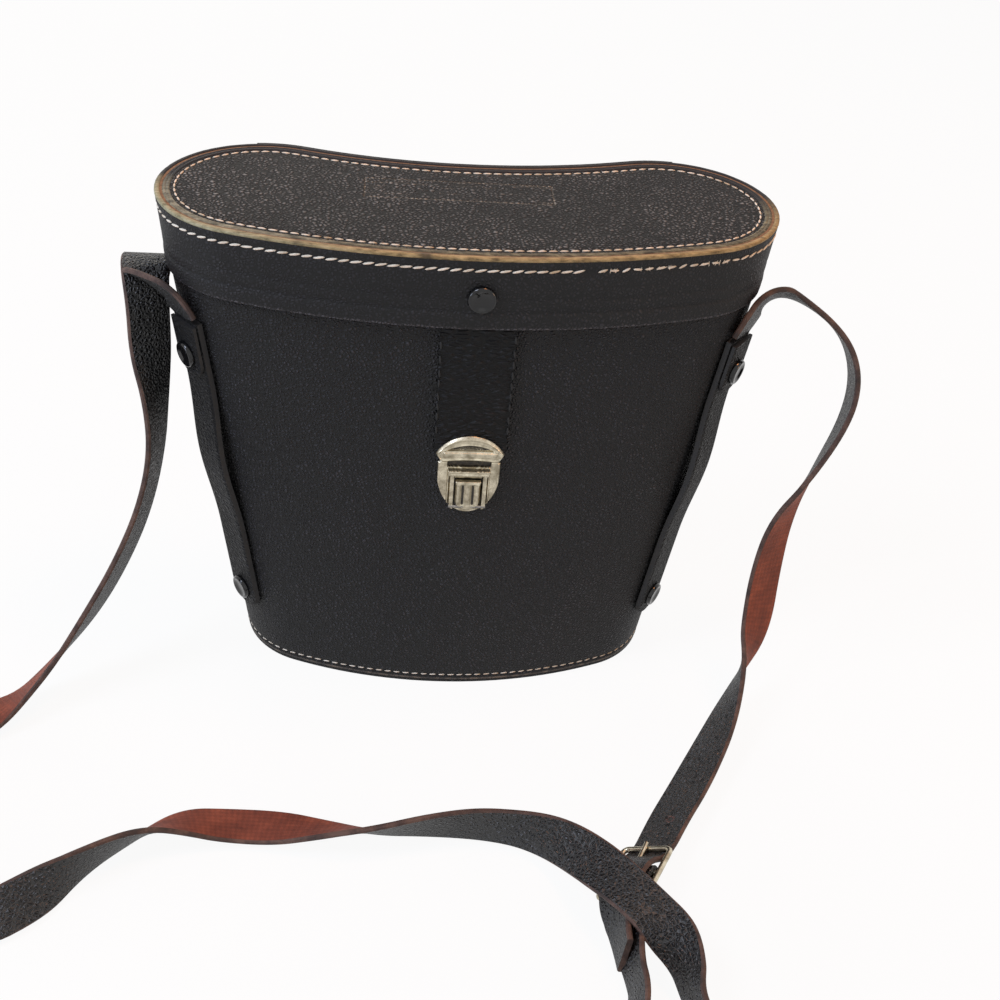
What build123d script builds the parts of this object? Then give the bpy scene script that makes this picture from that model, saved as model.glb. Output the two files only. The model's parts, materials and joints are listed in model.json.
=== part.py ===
from build123d import *
import os
from math import ceil, cos, radians, sin, tan

os.makedirs("parts", exist_ok=True)

# ---------------------------------------------------------------- sizes, mm
# Origin: centre of the case's footprint. The front is -Y, the hinge is at +Y.
case_height = 186.0       # floor to the lid's rim
lid_height = 26.0         # rim down to the skirt's lower edge
mouth_z = case_height - lid_height

# Kidney outline: width, depth, radius of the round ends, hollow of the back
base_width, base_depth, base_end_r, base_hollow = 160.0, 72.0, 31.3, 7.8
mouth_width, mouth_depth, mouth_end_r, mouth_hollow = 204.6, 78.0, 34.0, 10.4
rim_flare_w, rim_flare_d = 7.4, 6.0       # how much wider and deeper the rim is
rim_end_r, rim_hollow = 36.5, 11.0
rim_width, rim_depth = mouth_width + rim_flare_w, mouth_depth + rim_flare_d
skirt_over_side = 1.2     # how far the skirt stands proud of the body at the ends
skirt_over_front = 2.4    # and at the front and back
skirt_end_r_extra = 1.8
skirt_hollow_extra = 0.4

cover_t = 1.0             # leatherette on the body
core_t = 1.6              # fibreboard
lining_t = 0.4            # flock paper
collar_t = 1.4
collar_rise = 12.0        # collar above the body's mouth
collar_grip = 18.0        # collar glued below the mouth
base_cover_t = 1.0
base_board_t = 3.0

skirt_cover_t = 0.9
skirt_core_t = 1.6
lid_lining_t = 0.5
lid_recess = 1.9          # rim above the top panel
top_cover_t = 0.8
top_board_t = 1.8
flange_t = 1.2            # upturned edge of the top panel, inside the rim
raw_edge_drop = 0.4       # board edge below the two raw leather edges
seam_gap = 0.3            # lid to body

thread_t = 0.5
base_seam_z = 3.4
skirt_seam_drop = 4.6
top_seam_in = 6.2

hinge_half = 75.0         # half the length of the leather hinge
hinge_leg = 21.0          # length of each of its two legs, over the round backs
hinge_t = 1.3
hinge_leg_h = 35.0
hinge_seam_in = 3.0

closure_x = 2.0           # tab, lock and lid rivet sit a little right of centre
tab_width = 25.4
tab_t = 1.3
tab_gap = 0.2             # tab to the body's front
tab_root_h = 17.0
tab_drop = 50.5           # tab's end below the mouth
tab_low_z = mouth_z - tab_drop
tab_seam_in = 1.4
tab_seam_high = 9.0       # thread starts this far above the tab's end
tab_slack = 0.5           # free end of the tab below the skirt's edge

rivet_cap_r = 4.75
rivet_cap_h = 1.9
rivet_brim = 0.6
rivet_shank_r = 1.6
rivet_head_r, rivet_head_h = 2.4, 0.5
rivet_fit = 0.05
lid_rivet_up = 11.4       # above the mouth
lid_rivet_z = mouth_z + lid_rivet_up
washer_r, washer_t = 3.6, 0.6
washer_gap = 0.3          # flat washer in a curved wall

hasp_drop = 53.6          # hasp's lower edge below the mouth
hasp_width, hasp_ear_up, hasp_height = 23.8, 4.2, 11.4
hasp_low_z = mouth_z - hasp_drop
hasp_ear_z, hasp_top_z = hasp_low_z + hasp_ear_up, hasp_low_z + hasp_height
hasp_t = 1.0
hasp_boss_w, hasp_boss_h, hasp_boss_t, hasp_boss_up = 18.5, 3.4, 1.1, 6.8
hasp_boss_z = hasp_low_z + hasp_boss_up
hasp_rib_w, hasp_rib_h, hasp_rib_t, hasp_rib_up = 20.0, 1.6, 0.5, 3.0
hasp_rib_z = hasp_low_z + hasp_rib_up
hasp_lip_w, hasp_lip_h, hasp_lip_t = 13.5, 1.6, 0.7
hasp_tooth_w, hasp_tooth_h, hasp_tooth_in = 9.0, 0.7, 1.0
hasp_prong_r, hasp_prong_x, hasp_prong_up = 0.8, 5.5, 5.0
hasp_prong_z = hasp_low_z + hasp_prong_up
hasp_back_w, hasp_back_h, hasp_back_t = 16.0, 5.0, 0.4
hasp_back_fit = 0.1

lock_width, lock_height, lock_under = 22.0, 22.6, 22.1    # lock_under: below the hasp
lock_low_z = hasp_low_z - lock_under
lock_top_z = lock_low_z + lock_height
lock_round_up = 7.2       # the shield starts to round off here
lock_round_z = lock_low_z + lock_round_up
lock_corner_r = 1.5
lock_t = 1.2
lock_slot_w, lock_slot_h, lock_slot_up = 15.0, 3.4, 19.7
lock_slot_z = lock_low_z + lock_slot_up
frame_bar_w, frame_bar_h, frame_rise = 15.6, 2.2, 2.0
frame_rail_w, frame_rail_up = 1.7, 2.7
frame_rail_low_z = lock_low_z + frame_rail_up
tongue_width, tongue_up, tongue_height, tongue_t = 9.0, 2.6, 12.4, 1.8
tongue_low_z = lock_low_z + tongue_up
tongue_top_z = tongue_low_z + tongue_height
tongue_gap = 0.35
tongue_lift = 1.6         # tongue's back off the wall
flute_count, flute_w, flute_deep = 3, 1.3, 0.5
pin_r, pin_play, pin_up = 0.6, 0.05, 1.4
pin_z = tongue_low_z + pin_up
spring_w, spring_t, spring_length, spring_kick = 4.0, 0.3, 5.5, 0.3
lock_prong_r = 1.0
lock_prong_places = [(9.3, 20.0), (8.6, 8.2)]     # from the middle, and up from the lock's end
lock_prongs = [(side * x, lock_low_z + up) for x, up in lock_prong_places for side in (-1, 1)]
lock_prong_head_r, lock_prong_head_h = 1.6, 0.4
lock_back_t, lock_back_gap = 0.5, 0.5
lock_back_margin = 2.0

side_angle = 36.0         # where the straps run, round each end from its tip
strap_width, strap_t = 16.0, 2.0
strip_t = 2.2             # the strap's own end, riveted down the wall
strip_gap = 0.15
strip_low_z, strip_drop = 21.0, 13.0              # strip_drop: top below the mouth
strip_top_z = mouth_z - strip_drop
strip_bow, strip_bow_low, strip_bow_drop = 2.0, 58.0, 36.0
strip_bow_high = mouth_z - strip_bow_drop
anchor_width, anchor_t = 15.0, 1.5
anchor_drop, anchor_height = 14.0, 21.0
anchor_top_z = mouth_z - anchor_drop
anchor_low_z = anchor_top_z - anchor_height
anchor_gap = 0.15
side_rivet_low_z, side_rivet_drop = 30.0, 26.0
side_rivet_high_z = mouth_z - side_rivet_drop

buckle_centre = (59.4, -136.6, 7.6)
buckle_heading = 240.0    # way that the short strap runs through it
buckle_tilt = 32.0        # right side raised
buckle_length, buckle_width, buckle_wire_r, buckle_corner_r = 24.0, 18.6, 1.0, 2.0
chape_t, chape_gap, chape_low, chape_high = 1.4, 0.15, 4.2, 4.5
prong_slot = 3.6
buckle_prong_r, prong_sleeve_r, prong_sleeve_w = 0.8, 1.9, 3.0
strap_hole_r = 1.2
prong_hole_w, prong_hole_span = 2.4, (1.7, 7.8)
station_step, station_turn = 5.0, 30.0    # spacing of the straps' sections

big = 300.0               # larger than the whole case

# ------------------------------------------------- where the two straps lie
# Each point: x, y, z and the direction of the strap's width there.
long_route = [
    (-95.1, -15.6, 146.9, -0.59, 0.81, 0),
    (-99.6, -15.2, 154.3, -0.4, 0.7, -0.55),
    (-107.4, -9.4, 156, 0.35, 0.6, -0.7),
    (-110.8, -1.8, 154.2, 0.85, 0.3, -0.4),
    (-111, 4.4, 152.4, 1, 0.1, -0.1),
    (-111, 9.2, 153, 1, 0, 0),
    (-111, 9.2, 157.2, 1, 0, 0),
    (-111, 3.5, 158.4, 1, 0, 0),
    (-110, -3.2, 156.4, 1, 0, 0),
    (-109.3, -6.8, 147, 1, 0, 0),
    (-109.4, -8.2, 131, 0.95, 0.2, 0),
    (-108, -12, 112, 0.7, 0.7, 0),
    (-107.5, -16.4, 92, 0.5, 0.87, 0),
    (-111.5, -21.5, 70, 0.05, 0.92, -0.35),
    (-119.5, -28, 49.5, -0.2, 0.84, -0.5),
    (-131, -36, 31, -0.2, 0.8, -0.45),
    (-145.5, -46, 15.5, -0.2, 0.85, -0.3),
    (-163, -57.5, 6.2, -0.2, 0.95, 0),
    (-179, -71, 7, -0.3, 0.7, 0.6),
    (-187, -92, 9.2, 0, 0.1, 1),
    (-184, -118, 9.2, 0, 0, 1),
    (-171, -144, 8.6, -0.1, 0.45, 0.87),
    (-153, -158, 7.4, -0.1, 0.7, 0.7),
    (-136, -146, 7.4, 0.1, 0.75, 0.65),
    (-121, -131, 8.2, 0.35, 0.45, 0.82),
    (-107, -120, 8.8, 0.25, -0.2, 0.95),
    (-93, -114, 6.6, 0, -0.75, 0.66),
    (-78, -112, 2.6, 0, -0.98, 0.1),
    (-62, -113, 2.6, 0.1, -0.98, 0.1),
    (-46, -116, 5, 0.1, -0.85, 0.5),
    (-29, -119, 8, 0, -0.6, 0.8),
    (-10, -117, 8.9, -0.05, -0.33, 0.95),
    (8, -116.3, 9.1, -0.05, -0.05, 1),
    (24, -119.5, 9.6, 0.1, 0.1, 0.98),
    (37.6, -129, 13, 0.35, 0.4, 0.8),
    (50, -147, 18.8, 0.65, 0.7, 0.25),
    (61.8, -162, 18.4, 0.85, 0.52, 0.05),
    (70.2, -174, 13.8, 0.85, 0.15, 0.45),
    (71, -187.5, 8.4, 0.45, -0.3, 0.81),
    (74.5, -201, 7.2, 0.72, -0.3, 0.6),
    (73.5, -214, 5.8, 0.75, -0.5, 0.4),
    (63.5, -223, 4, 0.1, -0.97, 0.15),
    (51.5, -219.5, 4, -0.6, -0.75, -0.1),
    (47, -208, 5.6, -0.9, -0.1, -0.4),
    (50, -196, 7, -0.75, 0.1, -0.65),
    (53, -185, 8, -0.5, -0.05, -0.86),
    (53.2, -174.5, 7.3, -0.6, 0, -0.8),
    (53.2, -160.5, 6.7, -0.7, 0.12, -0.7),
    (54, -148.7, 5.6, -0.734, 0.424, -0.53),
    (57.9, -141.5, 5.8, -0.734, 0.424, -0.53),
]
short_route = [
    (95.1, -15.6, 146.9, -0.59, -0.81, 0),
    (97.9, -15.0, 152.5, -0.57, -0.8, 0.1),
    (103, -11, 160, -0.4, -0.8, 0.45),
    (113, -5, 164, -0.3, -0.8, 0.5),
    (127, -4.5, 161, -0.1, -0.9, 0.4),
    (138, -7.5, 149, 0.15, -0.98, 0.15),
    (142, -12, 132, 0.2, -0.98, 0),
    (138.5, -17, 113, 0.1, -0.98, 0),
    (129, -21, 92.5, -0.4, -0.9, 0.2),
    (121, -24, 72, -0.75, -0.65, 0.2),
    (116.5, -28, 50, -0.8, -0.6, 0.2),
    (113.5, -36, 29, -0.6, -0.7, 0.4),
    (109.5, -49, 14, 0.1, -0.7, 0.6),
    (101.5, -67, 8, 0.5, -0.6, 0.6),
    (92, -84, 6.3, 0.75, -0.5, 0.5),
    (83.5, -98.5, 5.7, 0.8, -0.5, 0.45),
    (75.5, -111, 5.6, 0.76, -0.45, 0.46),
    (65.9, -128.3, 5.1, 0.734, -0.424, 0.53),
    (57, -135.2, 12.3, 0.734, -0.424, 0.53),
    (51.6, -147, 10.3, 0.734, -0.424, 0.53),
    (51.3, -160.4, 8.7, 0.7, -0.12, 0.7),
    (51.4, -170.5, 8.9, 0.66, -0.05, 0.75),
]
# Holes in the short strap: place and the way they go through it.
strap_holes = [
    (51.4, -154.5, 9.4, -0.66, 0.1, 0.74),
    (76.3, -109.8, 5.6, -0.46, 0.27, 0.85),
]


# ---------------------------------------------------------------- outlines
def bean(z, width, depth, end_r, hollow, grow=0.0):
    """Kidney-shaped face at height z, offset outwards by grow."""
    w, d, r = width + 2 * grow, depth + 2 * grow, end_r + grow
    cx, cy = w / 2 - r, d / 2 - r
    back_y = d / 2 - hollow
    front = cy + d / 2
    back = cy - back_y
    front_r = (cx**2 + front**2 - r**2) / (2 * (front - r))
    back_r = (cx**2 + back**2 - r**2) / (2 * (r + back))
    front_c = Vector(0, front_r - d / 2)
    back_c = Vector(0, back_y + back_r)
    end_c = Vector(cx, cy)
    low = end_c + (end_c - front_c).normalized() * r
    high = end_c + (back_c - end_c).normalized() * r
    tip_x = cx + r
    with BuildSketch(Plane.XY.offset(z)) as face:
        with BuildLine():
            ThreePointArc((-low.X, low.Y), (0, -d / 2), (low.X, low.Y))
            ThreePointArc((low.X, low.Y), (tip_x, cy), (high.X, high.Y))
            ThreePointArc((high.X, high.Y), (0, back_y), (-high.X, high.Y))
            ThreePointArc((-high.X, high.Y), (-tip_x, cy), (-low.X, low.Y))
        make_face()
    return face.sketch


base_line = (base_width, base_depth, base_end_r, base_hollow)
mouth_line = (mouth_width, mouth_depth, mouth_end_r, mouth_hollow)
skirt_line = (
    mouth_width + 2 * skirt_over_side,
    mouth_depth + 2 * skirt_over_front,
    mouth_end_r + skirt_end_r_extra,
    mouth_hollow + skirt_hollow_extra,
)
rim_line = (rim_width, rim_depth, rim_end_r, rim_hollow)


def body_form(grow=0.0):
    """The tapering body, solid, offset outwards by grow."""
    with BuildPart() as form:
        loft([bean(0, *base_line, grow), bean(mouth_z, *mouth_line, grow)], ruled=True)
    return form.part


def lid_form(grow=0.0):
    """The lid's skirt, solid, from its lower edge to the rim."""
    with BuildPart() as form:
        loft([bean(mouth_z, *skirt_line, grow), bean(case_height, *rim_line, grow)], ruled=True)
    return form.part


def slab(low, high, x_low=-big, x_high=big, y_low=-big, y_high=big):
    """A block that keeps what lies between two heights."""
    with BuildPart() as block:
        with BuildSketch(Plane.XY.offset(low)):
            with Locations(((x_low + x_high) / 2, (y_low + y_high) / 2)):
                Rectangle(x_high - x_low, y_high - y_low)
        extrude(amount=high - low)
    return block.part


def skin(form, outer, inner, keep):
    """What lies between two offsets of a form, inside the block keep."""
    with BuildPart() as layer:
        add(form(outer))
        add(form(inner), mode=Mode.SUBTRACT)
        add(keep, mode=Mode.INTERSECT)
    return layer.part


def sheet(form, grow, low, high):
    """A flat layer that fills an offset of a form between two heights."""
    with BuildPart() as layer:
        add(form(grow))
        add(slab(low, high), mode=Mode.INTERSECT)
    return layer.part


wall_t = cover_t + core_t + lining_t
skirt_t = skirt_cover_t + skirt_core_t
lid_wall_t = skirt_t + lid_lining_t
body_top = mouth_z - seam_gap
floor_top = base_cover_t + base_board_t
panel_z = case_height - lid_recess
top_board_low = panel_z - top_cover_t - top_board_t


# ---------------------------------------------------------------- placing
def lean_plane(low_line, low_z, high_line, high_z, z):
    """Upright front face at height z: x right, y up the wall, z outwards."""
    low, high = low_line[1] / 2, high_line[1] / 2
    lean = (high - low) / (high_z - low_z)
    origin = (closure_x, -(low + lean * (z - low_z)), z)
    return Plane(origin=origin, x_dir=(1, 0, 0), z_dir=(0, -1, -lean))


def side_plane(side, z):
    """On a round end at side_angle: x along the wall, y up it, z outwards."""
    a = radians(side_angle)
    out = Vector(side * cos(a), -sin(a), 0)

    def foot(line, height):
        width, depth, end_r, _ = line
        centre = Vector(side * (width / 2 - end_r), depth / 2 - end_r, height)
        return centre + out * end_r

    low, high = foot(base_line, 0), foot(mouth_line, mouth_z)
    up = (high - low).normalized()
    normal = (out - up * out.dot(up)).normalized()
    return Plane(origin=low + (high - low) * (z / mouth_z), x_dir=up.cross(normal), z_dir=normal)


def rise(side, z):
    """Distance up the wall at side_angle to height z."""
    return (side_plane(side, z).origin - side_plane(side, 0).origin).length


front_wall = lean_plane(base_line, 0, mouth_line, mouth_z, 0)
lid_front = lean_plane(skirt_line, mouth_z, rim_line, case_height, lid_rivet_z)
sides = {"left": -1, "right": 1}


def bars(plane, points, r, low, high):
    """Round bars along the plane's normal, from depth low to depth high."""
    with BuildPart() as group:
        with BuildSketch(plane.offset(low)):
            with Locations(*points):
                Circle(r)
        extrude(amount=high - low)
    return group.part


def plate(plane, low, high, x_size, y_low, y_high, x_mid=0.0):
    """A rectangular block on a plane, from depth low to depth high."""
    with BuildPart() as block:
        with BuildSketch(plane.offset(low)):
            with Locations((x_mid, (y_low + y_high) / 2)):
                Rectangle(x_size, y_high - y_low)
        extrude(amount=high - low)
    return block.part


def lens(plane, low, high, width, height, y):
    """A block with two curved long sides, on a plane."""
    with BuildPart() as block:
        with BuildSketch(plane.offset(low)):
            with BuildLine():
                ThreePointArc((-width / 2, y), (0, y + height / 2), (width / 2, y))
                ThreePointArc((width / 2, y), (0, y - height / 2), (-width / 2, y))
            make_face()
        extrude(amount=high - low)
    return block.part


def rivet(plane, seat, through):
    """Domed cap seated at a depth, shank through a wall, head clinched inside."""
    inside = -(through + washer_gap + washer_t)
    across = Plane(origin=plane.origin, x_dir=plane.x_dir, z_dir=-plane.y_dir)
    with BuildPart() as body:
        with BuildSketch(across):
            with BuildLine():
                Polyline(
                    (0, seat + rivet_cap_h),
                    (0, inside - rivet_head_h),
                    (rivet_head_r, inside - rivet_head_h),
                    (rivet_head_r, inside),
                    (rivet_shank_r, inside),
                    (rivet_shank_r, seat),
                    (rivet_cap_r, seat),
                    (rivet_cap_r, seat + rivet_brim),
                )
                TangentArc((0, seat + rivet_cap_h), (rivet_cap_r, seat + rivet_brim), tangent=(1, 0))
            make_face()
        revolve(axis=Axis(plane.origin, plane.z_dir))
    return body.part


def washer(plane, through):
    """Flat ring inside a wall."""
    with BuildPart() as ring:
        with BuildSketch(plane.offset(-(through + washer_gap + washer_t))):
            Circle(washer_r)
            Circle(rivet_shank_r + rivet_fit, mode=Mode.SUBTRACT)
        extrude(amount=washer_t)
    return ring.part


def bore(plane, r, deep=2 * (wall_t + washer_t), out=4 * strip_t):
    """Clearance for a shank of radius r through everything at the plane."""
    return bars(plane, [(0, 0)], r + rivet_fit, -deep, out)


side_rivet_planes = {
    name: [side_plane(side, side_rivet_low_z), side_plane(side, side_rivet_high_z)]
    for name, side in sides.items()
}
wall_holes = [bore(plane, rivet_shank_r) for name in sides for plane in side_rivet_planes[name]]
wall_holes.append(bars(front_wall, lock_prongs, lock_prong_r + rivet_fit, -2 * wall_t, lock_t))
lid_hole = bore(lid_front, rivet_shank_r)


def cut(holes):
    """Take holes out of the part being built."""
    for hole in holes:
        add(hole, mode=Mode.SUBTRACT)


# ---------------------------------------------------------------- the body
wall_span = slab(base_cover_t, body_top)

with BuildPart() as body_cover:
    add(skin(body_form, 0, -cover_t, wall_span))
    cut(wall_holes)

with BuildPart() as body_core:
    add(skin(body_form, -cover_t, -cover_t - core_t, wall_span))
    cut(wall_holes)

with BuildPart() as body_lining:
    add(skin(body_form, -cover_t - core_t, -wall_t, slab(floor_top, body_top)))
    cut(wall_holes)

with BuildPart() as base_cover:
    add(sheet(body_form, 0, 0, base_cover_t))

with BuildPart() as base_board:
    add(sheet(body_form, -cover_t - core_t, base_cover_t, floor_top))

with BuildPart() as base_lining:
    add(sheet(body_form, -wall_t, floor_top, floor_top + lining_t))

with BuildPart() as base_stitching:
    add(skin(body_form, thread_t, 0, slab(base_seam_z, base_seam_z + thread_t)))

with BuildPart() as inner_collar:
    add(skin(body_form, -wall_t, -wall_t - collar_t, slab(mouth_z - collar_grip, mouth_z)))
    with BuildSketch(Plane.XY.offset(mouth_z)):
        add(bean(0, *mouth_line, -wall_t))
        add(bean(0, *mouth_line, -wall_t - collar_t), mode=Mode.SUBTRACT)
    extrude(amount=collar_rise)


# ------------------------------------------------ the hinge, one long leather
leg_spans = {
    name: sorted((side * hinge_half, side * (hinge_half - hinge_leg))) for name, side in sides.items()
}


def hinge_layer(form, inner, thick, low, high, x_low, x_high):
    """A layer on the back of a form."""
    return skin(form, inner + thick, inner, slab(low, high, x_low, x_high, y_low=0))


hinge_legs = {}
for name, (x_low, x_high) in leg_spans.items():
    with BuildPart() as leg:
        low = mouth_z - hinge_leg_h
        add(hinge_layer(body_form, 0, hinge_t, low, mouth_z - 2 * seam_gap, x_low, x_high))
    hinge_legs[name] = leg

with BuildPart() as hinge_stitching_lower:
    for x_low, x_high in leg_spans.values():
        seam = mouth_z - hinge_leg_h + hinge_seam_in
        span = (seam, seam + thread_t, x_low + hinge_seam_in, x_high - hinge_seam_in)
        add(hinge_layer(body_form, hinge_t, thread_t, *span))

with BuildPart() as hinge_flap:
    low = mouth_z + seam_gap
    add(hinge_layer(lid_form, 0, hinge_t, low, case_height, -hinge_half, hinge_half))

with BuildPart() as hinge_stitching_upper:
    seam = case_height - hinge_seam_in
    span = (seam, seam + thread_t, hinge_seam_in - hinge_half, hinge_half - hinge_seam_in)
    add(hinge_layer(lid_form, hinge_t, thread_t, *span))


# ---------------------------------------------------------------- the lid
tab_low_x, tab_high_x = closure_x - tab_width / 2, closure_x + tab_width / 2
root_span = slab(mouth_z + seam_gap, mouth_z + tab_root_h, tab_low_x, tab_high_x, y_high=0)
pocket_span = slab(mouth_z - 1, mouth_z + tab_root_h, tab_low_x, tab_high_x, y_high=0)

with BuildPart() as lid_skirt_cover:
    add(skin(lid_form, 0, -skirt_cover_t, slab(mouth_z, case_height)))
    cut([lid_hole])

with BuildPart() as lid_skirt_core:
    span = slab(mouth_z, case_height - raw_edge_drop)
    add(skin(lid_form, -skirt_cover_t, -skirt_t, span))
    cut([lid_hole, skin(lid_form, -skirt_cover_t, -skirt_cover_t - tab_t, pocket_span)])

with BuildPart() as tab_root:
    add(skin(lid_form, -skirt_cover_t, -skirt_cover_t - tab_t, root_span))
    cut([lid_hole])

with BuildPart() as lid_lining:
    low = mouth_z + seam_gap
    add(skin(lid_form, -skirt_t, -lid_wall_t, slab(low, top_board_low)))
    add(sheet(lid_form, -lid_wall_t, top_board_low - lid_lining_t, top_board_low))
    cut([lid_hole])

with BuildPart() as lid_top_board:
    add(sheet(lid_form, -skirt_t, top_board_low, top_board_low + top_board_t))

with BuildPart() as lid_top_cover:
    add(sheet(lid_form, -skirt_t, panel_z - top_cover_t, panel_z))

with BuildPart() as lid_rim_flange:
    add(skin(lid_form, -skirt_t, -skirt_t - flange_t, slab(panel_z, case_height)))

with BuildPart() as lid_top_stitching:
    with BuildSketch(Plane.XY.offset(panel_z)):
        add(bean(0, *rim_line, -top_seam_in))
        add(bean(0, *rim_line, -top_seam_in - thread_t), mode=Mode.SUBTRACT)
    extrude(amount=thread_t)

with BuildPart() as skirt_stitching:
    seam = case_height - skirt_seam_drop
    beside = hinge_half + seam_gap
    add(skin(lid_form, thread_t, 0, slab(seam, seam + thread_t)))
    cut([slab(0, case_height, -beside, beside, y_low=0)])

with BuildPart() as lid_rivet:
    add(rivet(lid_front, 0, lid_wall_t))

with BuildPart() as lid_rivet_washer:
    add(washer(lid_front, lid_wall_t))


# ---------------------------------------------------------------- the tab
tab_out = tab_gap + tab_t
tab_top_z = mouth_z - tab_slack
hasp_prongs = [(-hasp_prong_x, hasp_prong_z), (hasp_prong_x, hasp_prong_z)]
hasp_back_low = hasp_prong_z - hasp_back_h / 2
hasp_back_high = hasp_prong_z + hasp_back_h / 2
hasp_back_fit_w = hasp_back_w + 2 * hasp_back_fit

with BuildPart() as closure_tab:
    span = slab(tab_low_z, tab_top_z, tab_low_x, tab_high_x, y_high=0)
    add(skin(body_form, tab_out, tab_gap, span))
    recess_z = (hasp_back_low - hasp_back_fit, hasp_back_high + hasp_back_fit)
    cut([plate(front_wall, -tab_t, tab_gap + hasp_back_t, hasp_back_fit_w, *recess_z)])
    cut([bars(front_wall, hasp_prongs, hasp_prong_r + rivet_fit, 0, 2 * tab_out)])

with BuildPart() as tab_stitching:
    for x in (tab_low_x + tab_seam_in, tab_high_x - tab_seam_in):
        low = hasp_top_z + thread_t
        span = slab(low, tab_top_z, x - thread_t / 2, x + thread_t / 2, y_high=0)
        add(skin(body_form, tab_out + thread_t, tab_out, span))

with BuildPart() as hasp_plate:
    with BuildSketch(front_wall.offset(tab_out)):
        with BuildLine():
            half, low = hasp_width / 2, hasp_low_z
            foot = half - (hasp_ear_z - low) / 2
            ThreePointArc((-half, hasp_ear_z), (0, hasp_top_z), (half, hasp_ear_z))
            Polyline(
                (half, hasp_ear_z),
                (half, (hasp_ear_z + low) / 2),
                (foot, low),
                (-foot, low),
                (-half, (hasp_ear_z + low) / 2),
                (-half, hasp_ear_z),
            )
        make_face()
    extrude(amount=hasp_t)
    hasp_face = tab_out + hasp_t
    add(lens(front_wall, hasp_face, hasp_face + hasp_boss_t, hasp_boss_w, hasp_boss_h, hasp_boss_z))
    add(plate(
        front_wall, hasp_face, hasp_face + hasp_rib_t, hasp_rib_w,
        hasp_rib_z - hasp_rib_h / 2, hasp_rib_z + hasp_rib_h / 2,
    ))
    lip_low = hasp_low_z - hasp_lip_h
    add(plate(front_wall, tab_out, tab_out + hasp_lip_t, hasp_lip_w, lip_low, hasp_low_z))
    add(plate(
        front_wall, tab_out - hasp_tooth_in, tab_out, hasp_tooth_w,
        lip_low, lip_low + hasp_tooth_h,
    ))
    add(bars(front_wall, hasp_prongs, hasp_prong_r, tab_gap, tab_out))

with BuildPart() as hasp_back_plate:
    add(plate(
        front_wall, tab_gap, tab_gap + hasp_back_t, hasp_back_w,
        hasp_back_low, hasp_back_high,
    ))
    cut([bars(front_wall, hasp_prongs, hasp_prong_r, 0, tab_out)])


# ---------------------------------------------------------------- the lock
window_low, window_high = tongue_low_z - tongue_gap, tongue_top_z + tongue_gap
window_w = tongue_width + 2 * tongue_gap
rail_x = window_w / 2 + frame_rail_w / 2
pin_depth = tongue_lift + tongue_t / 2
pin_half = window_w / 2 + frame_rail_w
lock_back = -(wall_t + lock_back_gap + lock_back_t)
shield_half = lock_width / 2


def pin_bar(r, half):
    """A round bar across the lock, on the tongue's axis."""
    axis_point = front_wall.from_local_coords((0, pin_z, pin_depth))
    axis_plane = Plane(origin=axis_point, x_dir=front_wall.y_dir, z_dir=front_wall.x_dir)
    return bars(axis_plane, [(0, 0)], r, -half, half)


with BuildPart() as lock_body:
    with BuildSketch(front_wall):
        with BuildLine():
            ThreePointArc((-shield_half, lock_round_z), (0, lock_low_z), (shield_half, lock_round_z))
            Line((shield_half, lock_round_z), (shield_half, lock_top_z - lock_corner_r))
            Line((shield_half, lock_top_z - lock_corner_r), (shield_half - lock_corner_r, lock_top_z))
            Line((shield_half - lock_corner_r, lock_top_z), (lock_corner_r - shield_half, lock_top_z))
            Line((lock_corner_r - shield_half, lock_top_z), (-shield_half, lock_top_z - lock_corner_r))
            Line((-shield_half, lock_top_z - lock_corner_r), (-shield_half, lock_round_z))
        make_face()
        with Locations((0, lock_slot_z)):
            Rectangle(lock_slot_w, lock_slot_h, mode=Mode.SUBTRACT)
        with Locations((0, (window_low + window_high) / 2)):
            Rectangle(window_w, window_high - window_low, mode=Mode.SUBTRACT)
    extrude(amount=lock_t)
    bar_low = window_high
    add(plate(
        front_wall, lock_t, lock_t + frame_rise, frame_bar_w, bar_low, bar_low + frame_bar_h
    ))
    for x in (-rail_x, rail_x):
        add(plate(
            front_wall, lock_t, lock_t + frame_rise, frame_rail_w, frame_rail_low_z, bar_low, x
        ))
    add(bars(front_wall, lock_prongs, lock_prong_r, lock_back, 0))
    add(bars(front_wall, lock_prongs, lock_prong_head_r, lock_back - lock_prong_head_h, lock_back))
    cut([pin_bar(pin_r, pin_half)])

with BuildPart() as lock_back_plate:
    margin = lock_back_margin
    low = min(y for x, y in lock_prongs) - margin
    high = max(y for x, y in lock_prongs) + margin
    add(plate(front_wall, lock_back, lock_back + lock_back_t, lock_width, low, high))
    cut([bars(front_wall, lock_prongs, lock_prong_r, 2 * lock_back, 0)])

with BuildPart() as tongue_pin:
    add(pin_bar(pin_r, pin_half))

with BuildPart() as tongue_spring:
    knee = pin_z + spring_length / 2
    add(plate(front_wall, 0, spring_t, spring_w, pin_z - spring_t, knee))
    with BuildSketch(Plane(origin=front_wall.origin, x_dir=front_wall.y_dir, z_dir=front_wall.x_dir)):
        with BuildLine():
            tip = knee + spring_length / 2
            Polyline(
                (knee, 0), (tip, spring_kick), (tip, spring_kick + spring_t), (knee, spring_t),
                close=True,
            )
        make_face()
    extrude(amount=spring_w / 2, both=True)

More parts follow.
